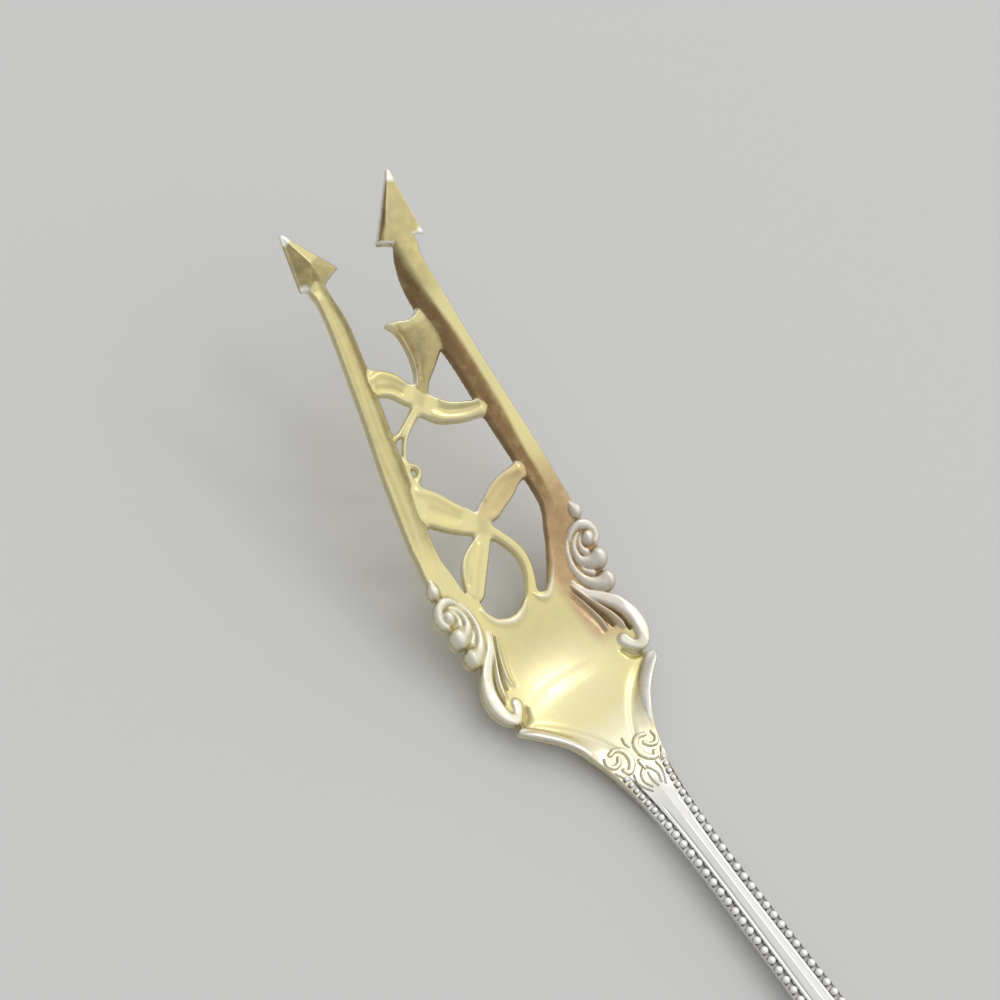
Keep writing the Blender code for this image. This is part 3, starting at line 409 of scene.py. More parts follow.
# stems and hubs: paths of x, y and half width
rods = {
    "curved_stem": [(25.7, -0.2, 0.6), (24.5, -1.1, 0.58), (23.0, -1.95, 0.6), (21.5, -2.28, 0.6),
        (20.0, -2.0, 0.62), (18.6, -1.35, 0.75), (17.6, -0.95, 0.9)],
    "long_stem": [(38.9, 0.9, 0.4), (38.1, 2.2, 0.28), (37.35, 3.4, 0.26), (36.5, 4.35, 0.27),
        (35.6, 4.95, 0.28), (34.6, 5.3, 0.3), (33.4, 5.5, 0.32), (32.2, 5.7, 0.34), (31.0, 6.1, 0.3)],
    "short_stem": [(39.2, 0.9, 0.35), (38.6, 2.4, 0.26), (37.95, 3.65, 0.25), (37.55, 4.5, 0.26),
        (37.3, 5.6, 0.3)],
    "side_bud": [(34.7, 5.3, 0.22), (34.35, 4.55, 0.28), (33.85, 4.2, 0.32), (33.35, 4.4, 0.34),
        (32.9, 5.0, 0.34), (32.5, 5.5, 0.34)],
    "lower_sprig_hub": [(26.1, 0.35, 0.95), (26.7, 0.4, 0.95)],
    "upper_sprig_hub": [(39.2, 0.4, 0.8), (39.8, 0.2, 0.8)]}
wire = {"lift": 0.08, "thickness": 0.9, "edge": 0.45}  # what the stems and hubs share

# barbed points: an outline each, where the fold lies across, how far back the apex is and the fall behind it
points = {
    "left_barbed_point": {
        "outline": [(58.66, 6.97), (58.76, 6.69), (53.75, 2.72), (53.5, 3.5), (53.2, 4.3), (53.2, 5.2),
            (53.4, 5.95), (53.05, 6.85), (53.35, 7.62)],
        "tip": (58.95, 6.9), "base": (53.6, 5.15), "barb": (53.2, 7.25), "fold": 0.05, "apex": 4.0,
        "drop": 0.3},
    "right_barbed_point": {
        "outline": [(59.68, -7.87), (59.78, -7.59), (54.0, -2.7), (53.75, -3.4), (53.5, -4.1), (53.5, -5.8),
            (53.45, -7.2), (53.1, -8.25)],
        "tip": (59.9, -7.78), "base": (53.6, -5.55), "barb": (53.25, -8.1), "fold": 0.66, "apex": 5.5,
        "drop": 0.1}}
arrow = {"taper": 0.46, "least": 0.05, "floor": 0.08, "grow": 0.1, "sink": 0.5, "rise": 0.8, "thin": 0.25,
         "thick": 1.1, "edge": 0.12}  # what the points share

# scroll work on the shoulders, the same on both sides: paths of x, distance out and half width
shoulder = {
    "knob": {"height": 0.9, "crown": 2, "paths": [
        [(23.7, 9.4, 0.3), (23.3, 9.5, 0.5), (22.95, 9.6, 0.7), (22.85, 9.62, 0.72)]]},
    "volute": {"height": 0.95, "crown": 2, "paths": [
        [(20.9, 7.5, 0.22), (21.45, 8.2, 0.4), (21.6, 9.1, 0.52), (21.3, 9.95, 0.56), (20.6, 10.4, 0.54),
         (19.9, 10.4, 0.46), (19.45, 10.05, 0.38)],
        [(20.05, 9.4, 0.74), (20.07, 9.45, 0.74)]]},
    "upper_lobe": {"height": 0.9, "crown": 2, "paths": [
        [(21.0, 8.7, 0.16), (20.5, 7.95, 0.25), (19.7, 7.55, 0.35), (18.7, 7.6, 0.46), (18.1, 8.25, 0.64),
         (17.87, 9.0, 0.9), (17.88, 9.5, 1.06)],
        [(20.7, 8.9, 0.14), (20.2, 8.45, 0.24), (19.5, 8.3, 0.34), (18.98, 8.55, 0.42)]]},
    "lower_lobe": {"height": 0.9, "crown": 2, "paths": [
        [(20.9, 7.3, 0.16), (19.75, 6.75, 0.28), (18.3, 6.6, 0.37), (16.95, 7.0, 0.48), (16.05, 7.75, 0.64),
         (15.65, 8.5, 0.86), (15.6, 9.1, 1.02)],
        [(18.5, 7.4, 0.14), (17.6, 7.55, 0.24), (16.95, 8.2, 0.34)]]},
    "c_scroll": {"height": 0.6, "crown": 4, "paths": [
        [(17.6, 5.75, 0.18), (16.5, 6.05, 0.32), (15.5, 6.7, 0.46), (14.3, 7.95, 0.62), (13.0, 9.0, 0.76),
         (11.5, 9.6, 0.86), (10.0, 9.65, 0.84), (8.9, 9.25, 0.72), (8.45, 8.6, 0.66), (8.8, 7.9, 0.52),
         (9.6, 7.4, 0.62), (9.75, 7.35, 0.66)]]},
    "heel_rim": {"height": 0.5, "crown": 4, "paths": [
        [(-2.5, 2.9, 0.15), (0.0, 3.6, 0.24), (1.5, 4.15, 0.34), (3.0, 4.85, 0.46), (4.5, 5.95, 0.56),
         (5.8, 7.35, 0.62), (6.7, 8.5, 0.58), (7.0, 8.95, 0.36)]]}}
rod = {"sink": 0.12, "slack": 0.02, "roundness": 0.55, "depth": 0.8, "edge": 0.3}  # what scrolls share

# soft relief on the sheet, each with its height: ribs and creases, both sides alike, and the piercings' lips
ribs = [
    ([(17.0, 5.45, 0.12), (15.4, 6.2, 0.24), (13.8, 7.05, 0.32), (12.5, 7.7, 0.36), (11.4, 8.05, 0.34),
      (10.9, 8.1, 0.26)], 0.36),
    ([(16.6, 5.05, 0.1), (15.35, 5.62, 0.16), (14.0, 6.1, 0.2), (12.65, 6.45, 0.24), (11.6, 6.5, 0.22)], 0.2)]
creases = [
    ([(16.4, 6.05, 0.12), (15.2, 6.65, 0.18), (13.9, 7.62, 0.24), (12.6, 8.35, 0.28), (11.4, 8.7, 0.28),
      (10.4, 8.6, 0.24)], -0.34),
    ([(16.6, 5.3, 0.12), (15.3, 5.95, 0.18), (13.9, 6.58, 0.24), (12.6, 7.1, 0.28),
      (11.6, 7.3, 0.26)], -0.26),
    ([(16.0, 4.8, 0.2), (14.4, 5.4, 0.3), (12.6, 6.0, 0.3), (11.5, 6.1, 0.24)], -0.1),
    ([(8.9, 6.6, 0.3), (8.0, 7.2, 0.5), (7.6, 8.0, 0.45)], -0.4),
    ([(0.6, 1.3, 0.3), (2.6, 2.6, 0.5), (4.6, 4.4, 0.6), (6.2, 6.4, 0.6), (7.0, 7.8, 0.4)], -0.14),
    ([(9.5, -0.5, 0.9), (9.4, 1.6, 0.9), (9.3, 3.3, 0.85), (8.7, 5.4, 0.7), (8.2, 6.8, 0.4)], 0.07)]
lips = [
    ([(19.2, 5.2, 0.35), (17.8, 4.3, 0.48), (17.1, 2.7, 0.52), (17.1, 1.6, 0.55), (17.7, 0.3, 0.4),
      (18.4, -0.3, 0.1)], 0.22),
    ([(18.4, -1.2, 0.1), (17.7, -1.8, 0.35), (17.5, -2.7, 0.48), (18.3, -3.7, 0.42), (19.6, -4.7, 0.25),
      (21.2, -5.5, 0.05)], 0.22)]
# how softly pieces run into each other, in outline and on top, and the shares of the leaves' relief
merge = {"outline": 0.22, "top": 0.4, "reach": 0.6, "limit": 40, "ridges": 0.7, "furrows": 0.5}


def tineAt(x, hand):
    # one tine's values interpolated at each x
    return {key: np.interp(x, tine["x"], values) for key, values in tine[hand].items()}


def tineTop(x, side, hand):
    # two facets meeting at a soft fold: a flatter outer one and a steeper inner one
    at = tineAt(x, hand)
    across = side - at["offset"] - at["fold"] * at["half"]
    softly = np.sqrt(across ** 2 + tine["softness"])
    outer, inner = (softly + across) / 2, (across - softly) / 2
    return ramp(x) + at["lift"] + at["outerSlope"] * outer + at["innerSlope"] * inner


def acrossPoint(x, y, spec):
    # distance down from the tip, and the place across as a share of the half width there
    tip, base = np.array(spec["tip"]), np.array(spec["base"])
    axis = (base - tip) / np.linalg.norm(base - tip)
    along = (x - tip[0]) * axis[0] + (y - tip[1]) * axis[1]
    side = (x - tip[0]) * -axis[1] + (y - tip[1]) * axis[0]
    if spec["base"][1] < 0:
        side = -side
    return along, np.clip(side / (np.maximum(along, arrow["least"]) * arrow["taper"]), -1, 1)


def pointRoof(x, y, spec):
    # two facets falling from the fold to the edges, and a third falling from the apex to the barbs
    along, s = acrossPoint(x, y, spec)
    grown = np.maximum(along, arrow["least"]) / spec["apex"]
    inner = grown * (1 - s) / (1 - spec["fold"])
    outer = grown * (1 + s) / (1 + spec["fold"])
    behind = 1 - spec["drop"] * (along - spec["apex"])
    return np.clip(np.minimum(np.minimum(inner, outer), behind), arrow["floor"], 1.0)


def mirrored(path):
    # the same points on the other side, in the opposite order
    return [(px, -py) for px, py in path[::-1]]


def sheetFields(x, y):
    # every sheet piece's name, signed distance, top height, thickness and edge radius
    side = np.abs(y)
    flank = bowl["side"] + [(px, float(halfWidth(px))) for px in bowl["heelX"][::-1]]
    plate = polygon(x, y, np.array(bowl["front"] + flank + mirrored(flank)))
    found = [("bowl", plate, face(x, y) + heelRise(x, side), bowl["thickness"], bowl["edge"])]
    for hand, sign in (("left", 1), ("right", -1)):
        path = np.stack([tine["x"], tine[hand]["offset"], tine[hand]["half"]], 1)[1:]
        strip, _, _ = stroke(x, sign * y, curve(path, 6))
        found.append((hand + "_tine", strip, tineTop(x, side, hand), tine["thickness"], tine["edge"]))
    for name, spec in points.items():
        roof = pointRoof(x, y, spec)
        head = polygon(x, y, np.array(spec["outline"])) - arrow["grow"]
        found.append((name, head, ramp(x) - arrow["sink"] + arrow["rise"] * roof,
                      arrow["thin"] + arrow["thick"] * roof, arrow["edge"]))
    for name, spec in leaves.items():
        leaf = polygon(x, y, curve(spec["outline"], 5, closed=True))
        found.append((name, leaf, face(x, y) + blade["lift"], blade["thickness"], blade["edge"]))
    for name, path in rods.items():
        stem, _, _ = stroke(x, y, curve(path))
        found.append((name, stem, face(x, y) + wire["lift"], wire["thickness"], wire["edge"]))
    return found


def bump(x, y, path, height):
    # a soft ridge or furrow: the height times a bell curve across the path, lower where the path is thinner
    line = curve(path)
    _, share, half = stroke(x, y, line)
    sharpness, cutOff = 1.5, 5
    return height * half / line[:, 2].max() * np.exp(-sharpness * np.minimum(share, cutOff) ** 2)


def headSurface(x, y):
    # outline distance, top and bottom heights and owner of each point of the head, and the owners' names:
    # heights are means of the pieces' own, weighted by how near each piece is
    side = np.abs(y)
    found = sheetFields(x, y)
    fields = np.stack([f for _, f, _, _, _ in found])
    nearest = fields.min(0)
    weight = np.exp(-np.clip((fields - nearest) / merge["outline"], 0, merge["limit"]))
    total = weight.sum(0)
    soft = np.exp(-np.clip((fields - nearest) / merge["top"], 0, merge["limit"]))
    top = sum(w * t for w, (_, _, t, _, _) in zip(soft, found)) / soft.sum(0)
    thick = sum(w * t for w, (_, _, _, t, _) in zip(weight, found)) / total
    radius = sum(w * r for w, (_, _, _, _, r) in zip(weight, found)) / total
    sheet = nearest - merge["outline"] * np.log(total) * rise(nearest, -merge["reach"], merge["reach"])
    owner = fields.argmin(0)
    names = [name for name, _, _, _, _ in found]
    low = top - thick
    for path, height in ribs + creases:
        top = top + bump(x, side, path, height)
    for path, height in lips:
        top = top + bump(x, y, path, height)
    for spec in leaves.values():
        for path, height in spec["ridges"]:
            top = top + merge["ridges"] * bump(x, y, path, height)
        for path, depth in spec["furrows"]:
            top = top - merge["furrows"] * bump(x, y, path, depth)
    top = top - edgeDrop(-sheet, radius)
    # scroll work: rounded rods and balls standing on the sheet, or beyond its edge
    base = face(x, y) + heelRise(x, side) - rod["sink"]
    beyond = sheet > rod["slack"]
    top = np.where(beyond, -farOff, top)
    outline = sheet
    for name, spec in shoulder.items():
        for path in spec["paths"]:
            field, share, half = stroke(x, side, curve(path))
            crown = np.maximum(0, 1 - share ** spec["crown"]) ** rod["roundness"]
            dome = base + spec["height"] * half * crown
            mine = (field < rod["slack"]) & (dome > top)
            top = np.where(mine, dome, top)
            outline = np.minimum(outline, field)
            for sign, hand in ((1, "left_"), (-1, "right_")):
                if hand + name not in names:
                    names.append(hand + name)
                owner = np.where(mine & (y * sign > 0), names.index(hand + name), owner)
    top = np.where(top == -farOff, base, top)
    low = np.where(beyond, base - rod["depth"], low) + edgeDrop(-outline, rod["edge"])
    return outline, top, low, owner, names


print("head field on", gridX.shape)
outline, _, _, _, _ = headSurface(gridX, gridY)
inside = outline < -0.3 * step  # too near the outline counts as outside it
grown = inside.copy()
grown[1:] |= inside[:-1]
grown[:-1] |= inside[1:]
wide = grown.copy()
wide[:, 1:] |= grown[:, :-1]
wide[:, :-1] |= grown[:, 1:]
rim = wide & ~inside
# rim vertices slide down the gradient on to the outline
px, py = gridX[rim], gridY[rim]
probe, longestSlide, leastSlope = 0.02, 0.12, 0.25
for turn in range(4):
    here = headSurface(px, py)[0]
    gx = (headSurface(px + probe, py)[0] - headSurface(px - probe, py)[0]) / (2 * probe)
    gy = (headSurface(px, py + probe)[0] - headSurface(px, py - probe)[0]) / (2 * probe)
    slope = np.maximum(gx * gx + gy * gy, leastSlope)
    px = px - np.clip(here * gx / slope, -longestSlide, longestSlide)
    py = py - np.clip(here * gy / slope, -longestSlide, longestSlide)
px = np.maximum(px, headStart)
gridX[rim], gridY[rim] = px, py
outline, top, bottom, owner, names = headSurface(gridX, gridY)
bottom = np.minimum(bottom, top - 0.12)  # the least thickness
cells = inside[:-1, :-1] | inside[1:, :-1] | inside[:-1, 1:] | inside[1:, 1:]
midX = (gridX[:-1, :-1] + gridX[1:, 1:]) / 2
midY = (gridY[:-1, :-1] + gridY[1:, 1:]) / 2
cellOwner = np.where(cells, headSurface(midX, midY)[3], -1)
# cells of a piece that touch at a corner alone: the one between them joins the piece, or one is left out
for turn in range(6):
    for flip in (1, -1):
        view = cellOwner[:, ::flip]
        a, b, c, d = view[:-1, :-1], view[1:, :-1], view[:-1, 1:], view[1:, 1:]
        corner = (a == d) & (a >= 0) & (b != a) & (c != a)
        join, drop = corner & (b >= 0), corner & (b < 0)
        b[join] = a[join]
        a[drop] = -1
cells = cellOwner >= 0
print("head heights done", int(cells.sum()), "cells")


def blur(values, mask, rounds):
    # repeated box mean of neighbours, counted only where the mask is set
    total, count = np.where(mask, values, 0.0), mask.astype(float)
    for k in range(rounds):
        for axis in (0, 1):
            total = total + np.roll(total, 1, axis) + np.roll(total, -1, axis)
            count = count + np.roll(count, 1, axis) + np.roll(count, -1, axis)
    return total / np.maximum(count, tiny)


# patina and painted light: marks from 0 to 1 at each point

budCrease = [(46.3, -1.0, 0.35), (45.0, -1.4, 0.5), (43.5, -1.45, 0.5), (42.2, -1.0, 0.3)]


def on(*wanted):
    # True where one of the named pieces is on top
    return np.isin(owner, [names.index(name) for name in wanted])


def most(*masks):
    # the strongest of several marks
    return np.maximum.reduce(masks)


def spot(x, y, reachX, reachY):
    # a soft patch about a place, falling off as a bell curve
    return np.exp(-((gridX - x) / reachX) ** 2 - ((gridY - y) / reachY) ** 2)


onHead = wide | inside
side = np.abs(gridY)
onBlade, onLeaf = on(*leaves), on(*leaves, *rods)
onRims = on("left_heel_rim", "right_heel_rim")
onHubs, onBud = on("lower_sprig_hub", "upper_sprig_hub"), on("bud_leaf")
leftTine, rightTine = on("left_tine"), on("right_tine")
leftPoint, rightPoint = on("left_barbed_point"), on("right_barbed_point")
scrolled = on(*[hand + name for hand in ("left_", "right_") for name in shoulder])
flat = top - ramp(gridX)
hollow = blur(flat, onHead, 5) - flat  # below the close surroundings
broad = blur(flat, onHead, 12) - flat  # below the wider surroundings


def brownAndShadeMark():
    # brown tone on the right tine's arm and the bud leaf; painted shade, in brown, on the right tine's inner
    # facet, along the bud leaf's crease and on the right point's inner facet
    # painted shade: the right tine's inner facet is browned as though turned from the light
    at = tineAt(gridX, "right")
    narrower = 0.3 * rise(gridX, 42, 5)
    wider = 0.4 * rise(gridX, 30, 6) * fall(gridX, 50, 4)
    limit = at["offset"] + at["half"] * at["fold"] + 0.3 - narrower + wider
    facet = fall(side, limit, 0.6) * rise(gridX, 22, 6) * rightTine
    arm = 0.45 * spot(23.5, -7.0, 4.5, 1.8)
    # painted shade along the bud leaf's crease
    _, share, _ = stroke(gridX, gridY, curve(budCrease))
    bud = onBud * most(0.38 * fall(gridX, 46.5, 0.8), 0.8 * np.exp(-1.2 * share ** 2))
    # painted shade on the right point's inner facet
    spec = points["right_barbed_point"]
    _, across = acrossPoint(gridX, gridY, spec)
    point = 0.9 * rightPoint * rise(across - spec["fold"], -0.05, 0.12)
    return most(facet, arm, bud, point)


def blushMark():
    # copper tone on the right arm, ending along a slanting line in the bowl, and on the lower right leaf
    line = -3.0 - 0.14 * np.maximum(19 - gridX, 0)
    arm = 0.9 * fall(gridY, line, 1.8) * rise(gridX, 9.6, 2.4) * fall(gridX, 31, 6)
    return most(arm, 0.4 * on("lower_right_leaf"))


def paintedShadeMark():
    # painted shade: a darker band along the left tine's inner side, in streaks, and on the left point's outer
    # facet and the middle of the bowl; also darker hubs, left point's back, right tine's end and bud leaf
    # painted shade: the left tine's inner side is darkened, in streaks
    streaks = 0.5 + 0.5 * np.sin(7 * (gridY + 0.11 * gridX) + 1.2 * np.sin(0.45 * gridX))
    strip = 0.16 + 0.3 * fall(gridY, tineAt(gridX, "left")["offset"] + 0.1, 0.9)
    strip = (strip + 0.12 * streaks) * leftTine * rise(gridX, 24, 6)
    hubs = 0.2 * blur(onHubs.astype(float), onHead, 5)
    spec = points["left_barbed_point"]
    along, _ = acrossPoint(gridX, gridY, spec)
    # painted shade on the left point's outer facet
    outer = 0.6 * leftPoint * (gridY > spec["tip"][1] - 0.33 * (spec["tip"][0] - gridX))
    back = 0.38 * leftPoint * rise(along, 3.9, 0.5)
    end = 0.34 * (rightPoint | rightTine) * rise(gridX, 46, 4)
    bud = 0.25 * onBud * fall(gridX, 46.6, 1.0)
    # painted shade over the middle of the bowl
    middle = 0.25 * spot(14.5, 1.0, 3.2, 6.0)
    return most(strip, hubs, outer, back, end, bud, middle)


def soilAndShadeMark():
    # soil in hollows and wider ones about the scrolls, darker in the leaves' folds, painted shade on the
    # scrolls' steep flanks, and the painted shade mark
    close = rise(hollow, 0.015, 0.07) * np.where(onLeaf, 0.1, 1)
    about = smooth(blur(scrolled.astype(float), onHead, 8) / 0.3)
    wider = 0.75 * rise(broad, 0.03, 0.15) * about
    # painted shade: the scrolls' steep flanks are darkened as though turned from the light
    steep = np.hypot(*np.gradient(top, step)) * (scrolled & ~onRims)
    paintedFlankShade = 0.42 * blur(rise(steep, 0.7, 1.2), onHead, 1)
    folds = most(*[bump(gridX, gridY, path, depth)
                   for spec in leaves.values() for path, depth in spec["furrows"]])
    return most(blur(most(close, wider), onHead, 2), paintedFlankShade, paintedShadeMark(), 0.9 * folds * onLeaf)


def wearAndSheenMark(soilAndShade, brownAndShade, blush):
    # worn ridges, edges, tips and barbs, less so where brown or blushed, then single pieces, among them
    # painted highlights on the leaves' edges towards the tips, a painted reflection on the heel rims and a
    # painted sheen about the bowl's highlight
    edges = 0.35 * rise(outline, -0.22, 0.22)
    worn = blur(most(rise(-hollow, 0.03, 0.14), edges), onHead, 2)
    for spec in points.values():
        for place, reach in ((spec["tip"], 1.0), (spec["barb"], 0.2)):
            gap = np.hypot(gridX - place[0], gridY - place[1])
            worn = most(worn, 1 - rise(gap, reach, 0.5))
    worn = worn * (1 - 0.85 * most(brownAndShade, blush))
    # the leaves' edges on the side of the tips are lightened: a painted highlight
    ahead = rise(np.gradient(outline, step, axis=0), 0.1, 0.6)  # edges on the side of the tips
    clearOfSoilAndShade = 1 - soilAndShade
    # the heel rims are whitened as wear and as a painted reflection; the spot in the bowl is a painted sheen
    # about its highlight
    masks = [worn, 0.95 * rightPoint * rise(outline, -0.2, 0.15),
             0.75 * onBlade * ahead * rise(outline, -0.36, 0.26),
             0.76 * scrolled * clearOfSoilAndShade, onRims * clearOfSoilAndShade,
             0.42 * fall(gridX, 6.0, 4.6), 0.18 * spot(10.0, 0.0, 5.0, 6.0)]  # the heel and the bowl
    masks += [0.8 * bump(gridX, side, path, 1.0) * clearOfSoilAndShade * (1 - 0.45 * blush) for path, _ in ribs]
    masks += [0.55 * bump(gridX, gridY, path, 1.0) ** 2 for path, _ in lips]
    return most(*masks)


brownAndShade, blush, soilAndShade = brownAndShadeMark(), blushMark(), soilAndShadeMark()
wearAndSheen = wearAndSheenMark(soilAndShade, brownAndShade, blush)
print("patina worked out")

count = gridX.size
ids = np.arange(count).reshape(gridX.shape)
verts = np.concatenate([toFrame(gridX, gridY, height).reshape(-1, 3) for height in (top, bottom)])
marks = {"soilAndShade": np.concatenate([soilAndShade.ravel(), np.zeros(count)]),
         "wearAndSheen": np.concatenate([wearAndSheen.ravel(), 0.8 * (wearAndSheen * scrolled).ravel()]),
         "brownAndShade": np.concatenate([brownAndShade.ravel(), brownAndShade.ravel()]),
         "blush": np.concatenate([blush.ravel(), blush.ravel()])}


def shellQuads(mask):
    # top, bottom and wall faces of the cells in the mask
    a, b, c, d = ids[:-1, :-1], ids[1:, :-1], ids[1:, 1:], ids[:-1, 1:]
    quads = [np.stack([a, b, c, d], -1)[mask], np.stack([d, c, b, a], -1)[mask] + count]
    padded = np.pad(mask, 1)
    for shift, p, q in (((1, 0), a, b), ((1, 2), c, d), ((0, 1), d, a), ((2, 1), b, c)):
        beyond = padded[shift[0]:shift[0] + mask.shape[0], shift[1]:shift[1] + mask.shape[1]]
        bare = mask & ~beyond
        quads.append(np.stack([p[bare], p[bare] + count, q[bare] + count, q[bare]], -1))
    return np.concatenate(quads)


allQuads = shellQuads(cells)
seam = (allQuads % count < gridX.shape[1]).all(1)  # wall against the neck, left out of the shading
headNormals = vertexNormals(verts, allQuads[~seam])
lowerRim = count + np.flatnonzero(np.abs(outline.ravel()) < 0.05)
headNormals[lowerRim, 2] *= 0.15  # the wall's foot faces outwards, not down
headNormals[lowerRim] /= np.maximum(np.linalg.norm(headNormals[lowerRim], axis=1, keepdims=True), tiny)
for number, name in enumerate(names):
    mask = cells & (cellOwner == number)
    if not mask.any():
        continue
    quads = shellQuads(mask)
    used, quads = np.unique(quads, return_inverse=True)
    quads = quads.reshape(-1, 4)
    makePiece(name + "_form", verts[used], quads, headNormals[used],
              {key: values[used] for key, values in marks.items()}, gilt, name)
print("head pieces made")


# the handle: a section carried along the stations

handle = {"end": -shank["length"], "shaftEnd": -58.1, "neckEnd": -9.1, "round": 8.0, "leastWidth": 0.0004,
          "strip": 0.14, "ledge": 0.98, "depth": 0.34, "stripDepth": 0.6, "stepWidth": 0.06, "ridge": 0.36,
          "groove": 0.07, "grooveHalf": 0.07, "groovePlace": 0.72, "edge": 0.12, "side": 0.7,
          "chamfer": 0.9, "thickness": 1.1, "footShare": 0.97, "heart": 0.3}
scrolls = {
    "rows": [
        [(0.35, 2.4, 0.2), (0.5, 1.5, 0.26), (-0.1, 0.78, 0.36), (-1.05, 0.68, 0.4), (-1.8, 1.15, 0.34),
         (-2.15, 1.8, 0.28), (-1.75, 2.1, 0.26)],
        [(0.2, 3.2, 0.14), (-0.45, 3.3, 0.22), (-0.95, 2.85, 0.26), (-0.85, 2.15, 0.22), (-0.4, 1.75, 0.22)],
        [(-2.6, 0.3, 0.12), (-3.1, 0.75, 0.22), (-3.8, 0.95, 0.16), (-4.6, 0.6, 0.08)],
        [(-2.7, 1.5, 0.1), (-3.4, 1.65, 0.18), (-4.2, 1.4, 0.14), (-5.0, 0.9, 0.08)],
        [(-1.6, 3.1, 0.1), (-2.1, 2.75, 0.16), (-2.7, 2.35, 0.12)]],
    "middle": [
        [(1.1, 0.0, 0.12), (0.6, 0.0, 0.28), (0.1, 0.0, 0.12)],
        [(-1.8, 0.0, 0.28), (-2.6, 0.0, 0.14)],
        [(-3.2, 0.0, 0.1), (-3.9, 0.0, 0.24), (-4.8, 0.0, 0.08)]],
    "height": 0.22, "crown": 4}


def ledgeDepth(x):
    # the bead ledge comes up to the face near the neck
    return handle["depth"] * (1 - rise(x, -4.5, 2.5))


def handleSurface(x, y):
    # top of the handle: edge strip, sunk bead ledge and ridged panel; and the lift of the neck's scrolls
    w = outlineWidth(x)
    side = np.abs(y)
    depth = ledgeDepth(x)
    inner = w - handle["strip"] - handle["ledge"]
    panel = np.maximum(inner, 0.05)
    soft = handle["stepWidth"]
    onLedge = rise(side, inner, soft) * fall(side, w - handle["strip"], soft)
    ridge = handle["ridge"] * np.maximum(0, 1 - side / panel) * (1 - rise(x, -6.5, 3.0))
    groove = np.exp(-((side - handle["groovePlace"] * panel) / handle["grooveHalf"]) ** 2)
    groove = handle["groove"] * groove * (1 - rise(x, -9.0, 3.0))
    onStrip = rise(side - w + handle["strip"], -soft / 2, soft)
    z = ramp(x) - depth * onLedge - handle["stripDepth"] * depth * onStrip + ridge - groove
    lift = np.zeros_like(z)
    for paths, place in ((scrolls["rows"], side), (scrolls["middle"], y)):
        for path in paths:
            _, share, _ = stroke(x, place, curve(path))
            crown = np.sqrt(np.maximum(0, 1 - share ** scrolls["crown"]))
            lift = np.maximum(lift, scrolls["height"] * crown)
    return z, lift


def outlineWidth(x):
    # half width times the height of a circle's arc over the round end
    t = np.clip((handle["end"] + handle["round"] - x) / handle["round"], 0, 1)
    return halfWidth(x) * np.sqrt(np.maximum(1 - t * t, handle["leastWidth"]))


